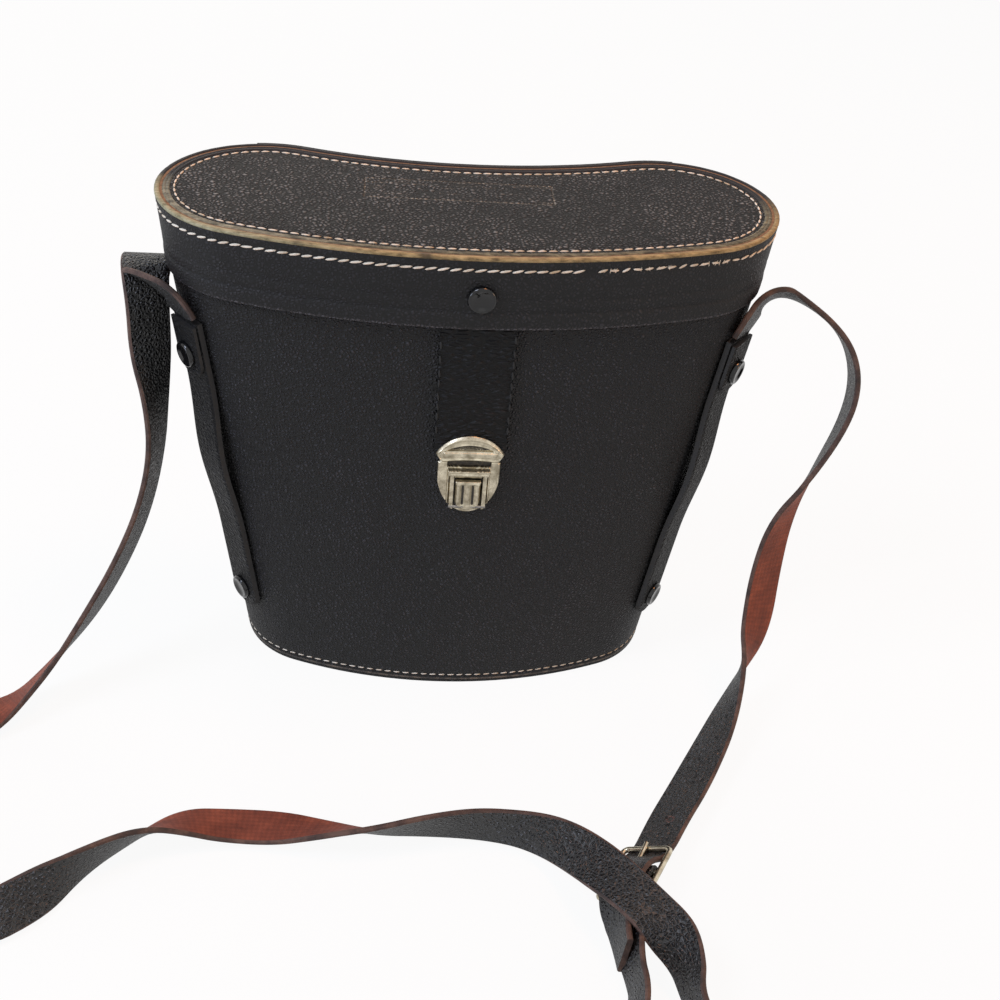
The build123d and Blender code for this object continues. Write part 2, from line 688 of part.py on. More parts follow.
with BuildPart() as press_tongue:
    with BuildSketch(front_wall.offset(tongue_lift)):
        round_r = tongue_width / 2
        with BuildLine():
            ThreePointArc(
                (-round_r, tongue_low_z + round_r), (0, tongue_low_z), (round_r, tongue_low_z + round_r)
            )
            Polyline(
                (round_r, tongue_low_z + round_r), (round_r, tongue_top_z),
                (-round_r, tongue_top_z), (-round_r, tongue_low_z + round_r),
            )
        make_face()
    extrude(amount=tongue_t)
    pitch = tongue_width / flute_count
    flute_low = pin_z + 2 * pin_r
    for number in range(flute_count):
        x = (number - (flute_count - 1) / 2) * pitch
        face = tongue_lift + tongue_t
        cut([plate(front_wall, face - flute_deep, face, flute_w, flute_low, tongue_top_z - flute_w, x)])
    cut([pin_bar(pin_r + pin_play, tongue_width)])


# ------------------------------------------- strips down the sides, and rivets
strip_out = strip_gap + strip_t
anchor_out = strip_out + anchor_gap + anchor_t


def tongue_shape(plane, width, low, high, depth_low, depth_high):
    """A leather strip with a round lower end, on a plane."""
    r = width / 2
    with BuildPart() as piece:
        with BuildSketch(plane.offset(depth_low)):
            with BuildLine():
                ThreePointArc((-r, low + r), (0, low), (r, low + r))
                Polyline((r, low + r), (r, high), (-r, high), (-r, low + r))
            make_face()
        extrude(amount=depth_high - depth_low)
    return piece.part


side_strips, strap_anchors = {}, {}
for name, side in sides.items():
    base = side_plane(side, 0)
    low, bow_low, bow_high, high = (
        rise(side, z) for z in (strip_low_z, strip_bow_low, strip_bow_high, strip_top_z)
    )
    middle = (bow_low + bow_high) / 2
    with BuildPart() as strip:
        with BuildSketch(Plane(origin=base.origin, x_dir=base.y_dir, z_dir=base.x_dir)):
            with BuildLine():
                for depth in (strip_gap, strip_out):
                    Line((low, depth), (bow_low, depth))
                    Spline(
                        (bow_low, depth), (middle, depth + strip_bow), (bow_high, depth),
                        tangents=[(1, 0), (1, 0)],
                    )
                    Line((bow_high, depth), (high, depth))
                Line((low, strip_gap), (low, strip_out))
                Line((high, strip_gap), (high, strip_out))
            make_face()
        extrude(amount=strap_width / 2, both=True)
        add(tongue_shape(base, strap_width, low, high, 0, 4 * strip_out), mode=Mode.INTERSECT)
        cut([bore(plane, rivet_shank_r) for plane in side_rivet_planes[name]])
    side_strips[name] = strip

    with BuildPart() as anchor:
        ends = (rise(side, anchor_low_z), rise(side, anchor_top_z))
        add(tongue_shape(base, anchor_width, *ends, strip_out + anchor_gap, anchor_out))
        cut([bore(side_rivet_planes[name][1], rivet_shank_r)])
    strap_anchors[name] = anchor

with BuildPart() as side_rivets:
    for lower, upper in side_rivet_planes.values():
        add(rivet(lower, strip_out, wall_t))
        add(rivet(upper, anchor_out, wall_t))

with BuildPart() as side_rivet_washers:
    for lower, upper in side_rivet_planes.values():
        add(washer(lower, wall_t))
        add(washer(upper, wall_t))


# ---------------------------------------------------------------- the buckle
heading = radians(buckle_heading)
lift = radians(buckle_tilt)
buckle_run = Vector(cos(heading), sin(heading), 0)
buckle_side = Vector(-sin(heading) * cos(lift), cos(heading) * cos(lift), sin(lift))
buckle = Plane(origin=buckle_centre, x_dir=buckle_side, z_dir=buckle_run.cross(buckle_side))
bar_plane = Plane(origin=buckle.origin, x_dir=buckle.y_dir, z_dir=buckle.x_dir)
half_length, half_width = buckle_length / 2, buckle_width / 2

with BuildSketch(buckle) as buckle_outline:
    RectangleRounded(buckle_width, buckle_length, buckle_corner_r)
buckle_path = buckle_outline.sketch.face().outer_wire()

with BuildPart() as buckle_frame:
    with BuildSketch(Plane(origin=buckle_path @ 0, z_dir=buckle_path % 0)):
        Circle(buckle_wire_r)
    sweep(path=buckle_path)
    add(bars(bar_plane, [(0, 0)], buckle_wire_r, -half_width, half_width))

with BuildPart() as buckle_chape:
    inner_r = buckle_wire_r + chape_gap
    outer_r = inner_r + chape_t
    with BuildSketch(bar_plane):
        Circle(outer_r)
        with Locations((-chape_low / 2, -(inner_r + outer_r) / 2)):
            Rectangle(chape_low, chape_t)
        with Locations((-chape_high / 2, (inner_r + outer_r) / 2)):
            Rectangle(chape_high, chape_t)
        Circle(inner_r, mode=Mode.SUBTRACT)
        with Locations((-chape_low / 2, 0)):
            Rectangle(chape_low, 2 * inner_r, mode=Mode.SUBTRACT)
    extrude(amount=strap_width / 2, both=True)
    slot_half = prong_slot / 2
    cut([plate(buckle, -2 * outer_r, 2 * outer_r, prong_slot, -slot_half, 2 * outer_r)])

with BuildPart() as buckle_prong:
    prong_rest = buckle_wire_r + buckle_prong_r + rivet_fit
    add(bars(bar_plane, [(0, 0)], prong_sleeve_r, -prong_sleeve_w / 2, prong_sleeve_w / 2))
    root = buckle.from_local_coords((0, prong_sleeve_r / 2, buckle_wire_r))
    tip = buckle.from_local_coords((0, half_length + buckle_wire_r, prong_rest))
    shank = Plane(origin=root, z_dir=tip - root)
    add(bars(shank, [(0, 0)], buckle_prong_r, 0, (tip - root).length))
    cut([bars(bar_plane, [(0, 0)], buckle_wire_r + rivet_fit, -prong_sleeve_w, prong_sleeve_w)])


# ---------------------------------------------------------------- the straps
def strap_stations(name, route, leaving):
    """Distance, place and way at steps along a path of runs and tangent arcs."""
    points = [Vector(*place[:3]) for place in route]
    legs = [b - a for a, b in zip(points, points[1:])]
    stations, marks, radii = [(0.0, points[0], leaving)], [0.0], []

    def go_straight(to, way):
        distance, here, _ = stations[-1]
        run = to - here
        steps = ceil(run.length / station_step)
        for step in range(1, steps + 1):
            share = step / steps
            stations.append((distance + run.length * share, here + run * share, way))

    for before, after, point in zip(legs, legs[1:], points[1:]):
        turn = before.get_angle(after)
        reach = 0.45 * min(before.length, after.length)
        radius = reach / tan(radians(turn) / 2)
        way_in = before.normalized()
        bend = way_in.cross(after).normalized()
        spin = Axis((0, 0, 0), bend)
        start = point - way_in * reach
        go_straight(start, way_in)
        distance = stations[-1][0]
        arm = bend.cross(way_in) * -radius
        steps = 2 * ceil(turn / station_turn)
        for step in range(1, steps + 1):
            angle = turn * step / steps
            place = start - arm + arm.rotate(spin, angle)
            stations.append((distance + radius * radians(angle), place, way_in.rotate(spin, angle)))
        marks.append(distance + radius * radians(turn) / 2)
        radii.append(round(radius, 1))
    go_straight(points[-1], legs[-1].normalized())
    marks.append(stations[-1][0])
    print(name, "length", round(marks[-1], 1), "radii", radii)
    return stations, marks


def strap(name, route, leaving):
    """A flat strap along a route, its width turning evenly from point to point."""
    stations, marks = strap_stations(name, route, leaving)
    widths = [Vector(*place[3:]).normalized() for place in route]
    planes = []
    for distance, place, way in stations:
        number = max(k for k in range(len(marks) - 1) if marks[k] <= distance)
        share = (distance - marks[number]) / (marks[number + 1] - marks[number])
        across = widths[number] * (1 - share) + widths[number + 1] * share
        planes.append(Plane(origin=place, x_dir=across - way * across.dot(way), z_dir=way))
    faces = [cross_cut(planes[0]).face(), cross_cut(planes[-1]).face()]
    for start, end in zip(planes, planes[1:]):
        with BuildPart() as run:
            loft([cross_cut(start), cross_cut(end)], ruled=True)
        faces += [face for face in run.part.faces() if is_along(face, start, end)]
    print(name, "section times length", round(marks[-1] * strap_width * strap_t))
    return Solid(Shell(faces))


def cross_cut(plane):
    """The strap's own section on a plane."""
    with BuildSketch(plane) as cut_face:
        Rectangle(strap_width, strap_t)
    return cut_face.sketch


def is_along(face, start, end):
    """Whether a face runs along the strap, and isn't a cut across it."""
    return min((face.center() - plane.origin).length for plane in (start, end)) > strap_t / 4


with BuildPart() as long_strap:
    add(strap("long_strap", long_route, side_plane(sides["left"], strip_top_z).y_dir))

with BuildPart() as short_strap:
    add(strap("short_strap", short_route, side_plane(sides["right"], strip_top_z).y_dir))

for name, cord in (("long_strap", long_strap), ("short_strap", short_strap)):
    print(name, "volume", round(cord.part.volume), "solids", len(cord.part.solids()))

with BuildPart() as holed_strap:
    add(short_strap.part)
    cut([plate(buckle, -half_length, half_length, prong_hole_w, *prong_hole_span)])
    for hole in strap_holes:
        cut([bars(Plane(origin=hole[:3], z_dir=hole[3:]), [(0, 0)], strap_hole_r, -strap_t, strap_t)])


# ---------------------------------------------------------------- written out
nodes = {
    "body_cover": body_cover,
    "body_core": body_core,
    "body_lining": body_lining,
    "base_cover": base_cover,
    "base_board": base_board,
    "base_lining": base_lining,
    "base_stitching": base_stitching,
    "inner_collar": inner_collar,
    "hinge_leg_left": hinge_legs["left"],
    "hinge_leg_right": hinge_legs["right"],
    "hinge_stitching_lower": hinge_stitching_lower,
    "hinge_flap": hinge_flap,
    "hinge_stitching_upper": hinge_stitching_upper,
    "lid_skirt_cover": lid_skirt_cover,
    "lid_skirt_core": lid_skirt_core,
    "lid_lining": lid_lining,
    "lid_top_board": lid_top_board,
    "lid_top_cover": lid_top_cover,
    "lid_rim_flange": lid_rim_flange,
    "lid_top_stitching": lid_top_stitching,
    "skirt_stitching": skirt_stitching,
    "lid_rivet": lid_rivet,
    "lid_rivet_washer": lid_rivet_washer,
    "tab_root": tab_root,
    "closure_tab": closure_tab,
    "tab_stitching": tab_stitching,
    "hasp_plate": hasp_plate,
    "hasp_back_plate": hasp_back_plate,
    "lock_body": lock_body,
    "lock_back_plate": lock_back_plate,
    "tongue_pin": tongue_pin,
    "tongue_spring": tongue_spring,
    "press_tongue": press_tongue,
    "side_strip_left": side_strips["left"],
    "side_strip_right": side_strips["right"],
    "strap_anchor_left": strap_anchors["left"],
    "strap_anchor_right": strap_anchors["right"],
    "side_rivets": side_rivets,
    "side_rivet_washers": side_rivet_washers,
    "long_strap": long_strap,
    "short_strap": holed_strap,
    "buckle_frame": buckle_frame,
    "buckle_chape": buckle_chape,
    "buckle_prong": buckle_prong,
}
for name, piece in nodes.items():
    piece.part.label = name
    export_step(piece.part, f"parts/{name}.step")
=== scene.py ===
import json
import math
import random

import bmesh
import bpy
from mathutils import Matrix, Vector
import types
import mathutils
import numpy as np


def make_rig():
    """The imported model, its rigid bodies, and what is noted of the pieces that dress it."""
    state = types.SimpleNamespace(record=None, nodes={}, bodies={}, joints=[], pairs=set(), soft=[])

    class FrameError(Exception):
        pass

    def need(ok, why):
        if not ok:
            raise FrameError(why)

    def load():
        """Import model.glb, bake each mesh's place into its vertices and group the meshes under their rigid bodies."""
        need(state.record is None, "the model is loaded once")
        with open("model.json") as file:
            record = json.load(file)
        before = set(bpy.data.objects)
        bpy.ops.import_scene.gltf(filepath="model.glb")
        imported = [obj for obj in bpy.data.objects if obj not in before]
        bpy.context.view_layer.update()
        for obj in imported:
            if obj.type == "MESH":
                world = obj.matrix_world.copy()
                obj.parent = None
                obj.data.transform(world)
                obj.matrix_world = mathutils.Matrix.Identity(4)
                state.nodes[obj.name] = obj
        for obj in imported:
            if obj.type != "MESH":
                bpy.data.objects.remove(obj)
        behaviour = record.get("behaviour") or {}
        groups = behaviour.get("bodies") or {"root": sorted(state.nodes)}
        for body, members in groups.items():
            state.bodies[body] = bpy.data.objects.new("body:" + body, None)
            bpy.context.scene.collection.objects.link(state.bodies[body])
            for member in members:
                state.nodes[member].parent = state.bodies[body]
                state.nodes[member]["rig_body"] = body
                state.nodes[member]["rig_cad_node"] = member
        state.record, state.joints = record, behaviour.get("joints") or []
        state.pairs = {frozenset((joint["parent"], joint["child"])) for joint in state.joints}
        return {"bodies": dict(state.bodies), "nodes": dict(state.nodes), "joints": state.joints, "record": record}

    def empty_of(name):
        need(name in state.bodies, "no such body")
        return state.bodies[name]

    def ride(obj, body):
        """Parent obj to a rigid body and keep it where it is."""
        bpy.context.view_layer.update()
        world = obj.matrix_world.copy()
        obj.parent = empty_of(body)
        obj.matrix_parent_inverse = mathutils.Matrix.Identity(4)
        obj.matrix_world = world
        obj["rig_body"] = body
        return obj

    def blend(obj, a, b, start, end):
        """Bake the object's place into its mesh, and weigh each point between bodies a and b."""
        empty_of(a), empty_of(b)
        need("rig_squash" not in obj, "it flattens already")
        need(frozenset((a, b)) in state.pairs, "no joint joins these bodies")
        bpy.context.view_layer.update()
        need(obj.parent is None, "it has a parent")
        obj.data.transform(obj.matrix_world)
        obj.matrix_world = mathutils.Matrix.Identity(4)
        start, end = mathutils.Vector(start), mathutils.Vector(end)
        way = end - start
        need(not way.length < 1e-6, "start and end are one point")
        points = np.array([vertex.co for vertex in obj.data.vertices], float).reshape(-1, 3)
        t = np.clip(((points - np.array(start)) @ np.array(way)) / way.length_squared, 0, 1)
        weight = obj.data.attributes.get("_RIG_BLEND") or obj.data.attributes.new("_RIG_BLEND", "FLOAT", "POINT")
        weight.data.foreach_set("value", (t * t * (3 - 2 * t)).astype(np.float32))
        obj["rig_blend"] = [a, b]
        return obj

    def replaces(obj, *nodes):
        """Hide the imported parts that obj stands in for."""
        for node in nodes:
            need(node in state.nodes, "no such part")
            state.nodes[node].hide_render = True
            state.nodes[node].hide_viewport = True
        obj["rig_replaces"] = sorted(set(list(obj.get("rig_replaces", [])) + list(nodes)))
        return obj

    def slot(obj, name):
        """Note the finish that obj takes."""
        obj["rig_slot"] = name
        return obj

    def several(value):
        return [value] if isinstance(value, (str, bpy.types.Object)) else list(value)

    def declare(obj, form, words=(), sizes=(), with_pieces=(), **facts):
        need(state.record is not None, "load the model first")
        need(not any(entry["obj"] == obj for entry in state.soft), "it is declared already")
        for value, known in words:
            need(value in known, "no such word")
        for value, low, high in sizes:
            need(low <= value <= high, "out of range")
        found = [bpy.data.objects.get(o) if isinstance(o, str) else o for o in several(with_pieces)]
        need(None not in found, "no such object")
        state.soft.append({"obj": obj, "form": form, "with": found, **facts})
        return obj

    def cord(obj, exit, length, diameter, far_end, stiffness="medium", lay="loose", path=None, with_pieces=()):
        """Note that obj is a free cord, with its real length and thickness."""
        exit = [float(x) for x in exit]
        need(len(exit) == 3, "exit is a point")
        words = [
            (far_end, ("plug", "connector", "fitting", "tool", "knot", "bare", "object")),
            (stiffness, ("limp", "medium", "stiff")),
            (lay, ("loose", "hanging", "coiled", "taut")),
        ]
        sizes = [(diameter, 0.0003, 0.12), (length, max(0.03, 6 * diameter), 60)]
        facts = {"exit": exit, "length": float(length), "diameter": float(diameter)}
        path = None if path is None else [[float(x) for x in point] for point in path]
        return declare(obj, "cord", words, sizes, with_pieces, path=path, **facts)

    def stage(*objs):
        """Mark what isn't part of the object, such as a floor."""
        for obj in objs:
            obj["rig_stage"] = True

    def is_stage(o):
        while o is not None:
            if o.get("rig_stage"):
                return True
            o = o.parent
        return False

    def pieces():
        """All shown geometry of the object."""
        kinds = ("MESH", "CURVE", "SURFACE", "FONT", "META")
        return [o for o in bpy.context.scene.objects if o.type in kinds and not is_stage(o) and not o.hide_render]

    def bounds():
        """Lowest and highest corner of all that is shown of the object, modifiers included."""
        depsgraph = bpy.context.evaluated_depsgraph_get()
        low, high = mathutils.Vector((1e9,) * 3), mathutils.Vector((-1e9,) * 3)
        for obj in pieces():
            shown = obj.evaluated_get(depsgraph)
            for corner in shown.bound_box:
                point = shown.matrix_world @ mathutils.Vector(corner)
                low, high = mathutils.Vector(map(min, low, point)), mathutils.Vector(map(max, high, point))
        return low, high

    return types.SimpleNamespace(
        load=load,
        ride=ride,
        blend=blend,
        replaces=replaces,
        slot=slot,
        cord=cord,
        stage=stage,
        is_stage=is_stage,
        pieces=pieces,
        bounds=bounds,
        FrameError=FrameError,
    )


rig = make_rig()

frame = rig.load()
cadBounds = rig.bounds()
mm = 0.001
scene = bpy.context.scene
scene.view_settings.view_transform = "Standard"
dice = random.Random(11)


# the camera first, then the straps
cameraLook = {
    "azimuth": -6.48,
    "elevation": 35.71,
    "roll": 5.16,
    "target": (18.23, 0, 62.27),  # mm
    "distance": 560,
    "lens": 51.99,
    "sensor": 36,
}


def placeCamera(look):
    azimuth, elevation, roll = (math.radians(look[key]) for key in ("azimuth", "elevation", "roll"))
    back = Vector((
        math.sin(azimuth) * math.cos(elevation),
        -math.cos(azimuth) * math.cos(elevation),
        math.sin(elevation),
    ))
    right = Vector((math.cos(azimuth), math.sin(azimuth), 0))
    up = back.cross(right)
    across = right * math.cos(roll) + up * math.sin(roll)
    upright = up * math.cos(roll) - right * math.sin(roll)
    data = bpy.data.cameras.new("camera")
    data.lens = look["lens"]
    data.sensor_width = look["sensor"]
    data.clip_start = 0.01
    camera = bpy.data.objects.new("camera", data)
    scene.collection.objects.link(camera)
    spot = (Vector(look["target"]) + back * look["distance"]) * mm
    turn = Matrix((across, upright, back)).transposed().to_4x4()
    camera.matrix_world = Matrix.Translation(spot) @ turn
    scene.camera = camera


placeCamera(cameraLook)
print("camera placed")


# shared tools
def linear(hexText):
    # sRGB hex to the linear colour that the shaders take
    channels = [int(hexText[i:i + 2], 16) / 255 for i in (1, 3, 5)]
    return tuple(c / 12.92 if c <= 0.04045 else ((c + 0.055) / 1.055) ** 2.4 for c in channels) + (1.0,)


def addNode(tree, kind, inputs=None, **settings):
    node = tree.nodes.new("ShaderNode" + kind)
    for key, value in settings.items():
        setattr(node, key, value)
    for key, value in (inputs or {}).items():
        if isinstance(value, bpy.types.NodeSocket):
            tree.links.new(value, node.inputs[key])
        else:
            node.inputs[key].default_value = value
    return node


def startMaterial(name, **surface):
    material = bpy.data.materials.new(name)
    material.use_nodes = True
    tree = material.node_tree
    tree.nodes.clear()
    shader = addNode(tree, "BsdfPrincipled", surface)
    addNode(tree, "OutputMaterial", {"Surface": shader.outputs[0]})
    place = addNode(tree, "TexCoord").outputs["Object"]
    return material, tree, shader, place


def fillRamp(ramp, low, high, middle=None):
    # each stop is a position and an sRGB hex
    stops = ramp.color_ramp.elements
    for stop, (position, colour) in zip(stops, (low, high)):
        stop.position, stop.color = position, linear(colour)
    if middle:
        stops.new(middle[0]).color = linear(middle[1])


def ease(low, high, value):
    t = min(max((value - low) / (high - low), 0), 1)
    return t * t * (3 - 2 * t)


def madeVerts(made):
    return [item for item in made if isinstance(item, bmesh.types.BMVert)]


def extrudeRing(bm, edges):
    # the new points and the new outer edges
    made = bmesh.ops.extrude_edge_only(bm, edges=edges)["geom"]
    loop = madeVerts(made)
    fresh = set(loop)
    edges = [item for item in made if isinstance(item, bmesh.types.BMEdge)]
    return loop, [edge for edge in edges if set(edge.verts) <= fresh]


def finishPiece(name, bm, materials, body=None, angle=None):
    mesh = bpy.data.meshes.new(name)
    bm.to_mesh(mesh)
    bm.free()
    piece = bpy.data.objects.new(name, mesh)
    scene.collection.objects.link(piece)
    for material in materials if isinstance(materials, (list, tuple)) else [materials]:
        mesh.materials.append(material)
    mesh.polygons.foreach_set("use_smooth", [True] * len(mesh.polygons))
    if angle:
        mesh.set_sharp_from_angle(angle=math.radians(angle))
    if body:
        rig.ride(piece, body)
    return piece


# the two straps
strapLook = {
    "width": 16,            # mm
    "thickness": 2,
    "rounding": 0.55,
    "steps": 10,            # sections between two points of the route
    "edgeBand": 0.93,       # share of the half width where the cut edge starts
}
longRoute = [
    (-0.0951, -0.0156, 0.1469, -0.59, 0.81, 0),
    (-0.0996, -0.0152, 0.1543, -0.4, 0.7, -0.55),
    (-0.1074, -0.0094, 0.156, 0.35, 0.6, -0.7),
    (-0.1108, -0.0018, 0.1542, 0.85, 0.3, -0.4),
    (-0.111, 0.0044, 0.1524, 1, 0.1, -0.1),
    (-0.111, 0.0092, 0.153, 1, 0, 0),
    (-0.111, 0.0092, 0.1572, 1, 0, 0),
    (-0.111, 0.0035, 0.1584, 1, 0, 0),
    (-0.11, -0.0032, 0.1564, 0.9, 0.4, 0),
    (-0.1093, -0.0068, 0.147, 0.8, 0.6, 0),
    (-0.1094, -0.0082, 0.131, 0.8, 0.6, 0),
    (-0.108, -0.012, 0.112, 0.35, 0.85, -0.25),
    (-0.1085, -0.0164, 0.0922, 0.15, 0.85, -0.45),
    (-0.1139, -0.0215, 0.07, 0.05, 0.69, -0.67),
    (-0.1231, -0.028, 0.0493, 0.0, 0.63, -0.74),
    (-0.1343, -0.036, 0.0313, -0.05, 0.61, -0.74),
    (-0.1478, -0.046, 0.0152, -0.2, 0.78, -0.55),
    (-0.1616, -0.0575, 0.0042, -0.2, 0.9, -0.35),
    (-0.179, -0.071, 0.007, -0.3, 0.7, 0.6),
    (-0.187, -0.092, 0.0092, 0, 0.1, 1),
    (-0.184, -0.118, 0.0092, 0, 0, 1),
    (-0.171, -0.144, 0.0086, -0.1, 0.45, 0.87),
    (-0.153, -0.158, 0.0077, -0.1, 0.7, 0.7),
    (-0.136, -0.146, 0.008, 0.1, 0.75, 0.65),
    (-0.121, -0.131, 0.0086, 0.35, 0, 0.93),
    (-0.1072, -0.12, 0.0074, 0.17, -0.5, 0.8),
    (-0.093, -0.114, 0.0066, 0, -0.9, 0.35),
    (-0.078, -0.112, 0.0026, 0, -0.98, 0.1),
    (-0.062, -0.113, 0.0026, 0.1, -0.98, 0.1),
    (-0.046, -0.116, 0.005, 0.1, -0.85, 0.5),
    (-0.029, -0.119, 0.008, 0, -0.6, 0.8),
    (-0.01, -0.117, 0.0089, -0.05, -0.33, 0.95),
    (0.008, -0.1163, 0.0091, -0.05, -0.05, 1),
    (0.024, -0.1195, 0.0096, 0.1, 0.1, 0.98),
    (0.0376, -0.129, 0.013, 0.35, 0.4, 0.8),
    (0.05, -0.147, 0.0188, 0.65, 0.7, 0.25),
    (0.0618, -0.162, 0.0184, 0.85, 0.52, 0.05),
    (0.0702, -0.174, 0.0138, 0.6, -0.35, 0.72),
    (0.071, -0.1875, 0.0092, 0.1, -0.6, 0.8),
    (0.0745, -0.201, 0.0084, 0.35, -0.6, 0.7),
    (0.0735, -0.214, 0.0067, 0.75, -0.5, 0.4),
    (0.0635, -0.223, 0.004, 0.1, -0.97, 0.15),
    (0.0515, -0.2195, 0.004, -0.6, -0.75, -0.1),
    (0.047, -0.208, 0.0056, -0.9, -0.1, -0.4),
    (0.05, -0.196, 0.007, -0.5, 0.2, -0.85),
    (0.0545, -0.185, 0.0088, -0.15, 0.35, -0.92),
    (0.0542, -0.1745, 0.0086, -0.15, 0.45, -0.88),
    (0.0541, -0.1605, 0.0078, -0.45, 0.35, -0.82),
    (0.054, -0.1487, 0.0056, -0.734, 0.424, -0.53),
    (0.0579, -0.1415, 0.0058, -0.734, 0.424, -0.53),
]
shortRoute = [
    (0.0951, -0.0156, 0.1469, -0.59, -0.81, 0),
    (0.0979, -0.015, 0.1525, -0.57, -0.8, 0.1),
    (0.103, -0.011, 0.16, -0.4, -0.8, 0.45),
    (0.1134, -0.005, 0.1588, -0.3, -0.8, 0.5),
    (0.1287, -0.0045, 0.15, -0.2, -0.9, 0.38),
    (0.1385, -0.0075, 0.1402, -0.12, -0.95, 0.32),
    (0.1424, -0.012, 0.1275, -0.12, -0.92, 0.33),
    (0.14, -0.017, 0.1134, -0.16, -0.92, 0.36),
    (0.1308, -0.021, 0.0919, -0.4, -0.9, 0.2),
    (0.1218, -0.024, 0.0735, -0.75, -0.65, 0.2),
    (0.1192, -0.028, 0.0515, -0.85, -0.5, 0.1),
    (0.1177, -0.036, 0.0311, -0.85, -0.5, 0.15),
    (0.1114, -0.049, 0.0185, -0.15, -0.72, 0.66),
    (0.1015, -0.067, 0.008, 0.5, -0.6, 0.6),
    (0.092, -0.084, 0.0063, 0.75, -0.5, 0.5),
    (0.0835, -0.0985, 0.0057, 0.8, -0.5, 0.45),
    (0.0755, -0.111, 0.0056, 0.76, -0.45, 0.46),
    (0.0659, -0.1283, 0.0051, 0.734, -0.424, 0.53),
    (0.057, -0.1352, 0.0123, 0.734, -0.424, 0.53),
    (0.0516, -0.147, 0.0098, 0.6, -0.45, 0.6),
    (0.0513, -0.1604, 0.0087, 0.12, -0.5, 0.86),
    (0.0516, -0.1705, 0.009, 0.1, -0.4, 0.9),
]


def smoothLine(name, knots, steps):
    # the line that a quadratic NURBS draws through a route
    curve = bpy.data.curves.new(name, "CURVE")
    curve.dimensions = "3D"
    curve.resolution_u = steps
    spline = curve.splines.new("NURBS")
    spline.points.add(len(knots) - 1)
    for point, knot in zip(spline.points, knots):
        point.co = (*knot, 1)
    spline.order_u = 3
    spline.use_endpoint_u = True
    holder = bpy.data.objects.new(name, curve)
    line = bpy.data.meshes.new_from_object(holder)
    places = [vertex.co.copy() for vertex in line.vertices]
    bpy.data.objects.remove(holder)
    bpy.data.meshes.remove(line)
    return places


def strapFrames(name, route, look):
    # place, width way and face way at each section
    centres = smoothLine(name + "Line", [Vector(knot[:3]) for knot in route], look["steps"])
    reach = 10 * mm
    sides = [Vector(knot[:3]) + Vector(knot[3:]).normalized() * reach for knot in route]
    edges = smoothLine(name + "Edge", sides, look["steps"])
    frames = []
    for i, (centre, edge) in enumerate(zip(centres, edges)):
        way = (centres[min(i + 1, len(centres) - 1)] - centres[max(i - 1, 0)]).normalized()
        width = edge - centre
        width = (width - way * width.dot(way)).normalized()
        face = way.cross(width)
        turn = Matrix((width, face, way)).transposed().to_4x4()
        frames.append(Matrix.Translation(centre) @ turn)
    return centres, frames


def strapMesh(name, route, look, materials):
    centres, frames = strapFrames(name, route, look)
    half, deep, cut = look["width"] / 2 * mm, look["thickness"] / 2 * mm, look["rounding"] * mm
    section = [(x * (half - cut), deep) for x in (-1, -0.5, 0, 0.5, 1)]
    section += [(half, deep - cut), (half, cut - deep)]
    section += [(x * (half - cut), -deep) for x in (1, 0.5, 0, -0.5, -1)]
    section += [(-half, cut - deep), (-half, deep - cut)]
    bm = bmesh.new()
    across = bm.verts.layers.float.new("across")
    along = bm.verts.layers.float.new("along")
    number = bm.verts.layers.int.new("sectionNumber")
    loop = bmesh.ops.create_circle(bm, segments=len(section), radius=1)["verts"]
    for vertex, (x, y) in zip(loop, section):
        vertex.co = (x, y, 0)
        vertex[across] = x / half
    bmesh.ops.transform(bm, matrix=frames[0], verts=loop)
    bmesh.ops.edgeloop_fill(bm, edges=bm.edges[:])
    ring, gone = bm.edges[:], 0.0
    for i in range(1, len(frames)):
        loop, ring = extrudeRing(bm, ring)
        bmesh.ops.transform(bm, matrix=frames[i] @ frames[i - 1].inverted(), verts=loop)
        gone += (centres[i] - centres[i - 1]).length
        for vertex in loop:
            vertex[along] = gone
            vertex[number] = i
    bmesh.ops.edgeloop_fill(bm, edges=ring)
    bmesh.ops.recalc_face_normals(bm, faces=bm.faces)
    for face in bm.faces:
        # 0 the finished face, 1 the flesh side, 2 the cut edges
        spread = sum(vertex[across] for vertex in face.verts) / len(face.verts)
        facing = frames[max(vertex[number] for vertex in face.verts)].col[1].xyz.dot(face.normal)
        cutEdge = abs(spread) > look["edgeBand"] or abs(facing) < 0.5
        face.material_index = 2 if cutEdge else (0 if facing > 0 else 1)
    strap = finishPiece(name, bm, materials, "case", angle=40)
    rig.slot(strap, "strap_leather")
    return strap, centres


# finishes
# Embossed leathercloth: PVC-coated cotton, rolled with a pebble grain. Dull black, pebble crests a little polished.
# grain and crease in mm; crest is where the pale rubbing and painted glint start on a pebble, 0 to 1; worn is their
# colour
bodyGrain = {
    "colour": "#0b0a0e", "worn": "#46454c", "grain": 1.25, "crease": 0.7,
    "roughness": 0.47, "wearAndGlint": 0.5, "shine": 0.33, "crest": 0.4,
}
lidGrain = {
    "colour": "#070709", "worn": "#7d7d7c", "grain": 1.5, "crease": 0.8,
    "roughness": 0.5, "wearAndGlint": 0.95, "shine": 0.2, "crest": 0.12,
}
softGrain = {
    "colour": "#08080b", "worn": "#2c2b30", "grain": 2.1, "crease": 1.1,
    "roughness": 0.46, "wearAndGlint": 0.25, "shine": 0.22, "crest": 0.4,
}
strapGrain = {
    "colour": "#050508", "worn": "#393942", "grain": 1.35, "crease": 0.7,
    "roughness": 0.34, "wearAndGlint": 0.25, "shine": 0.6, "crest": 0.5,
}


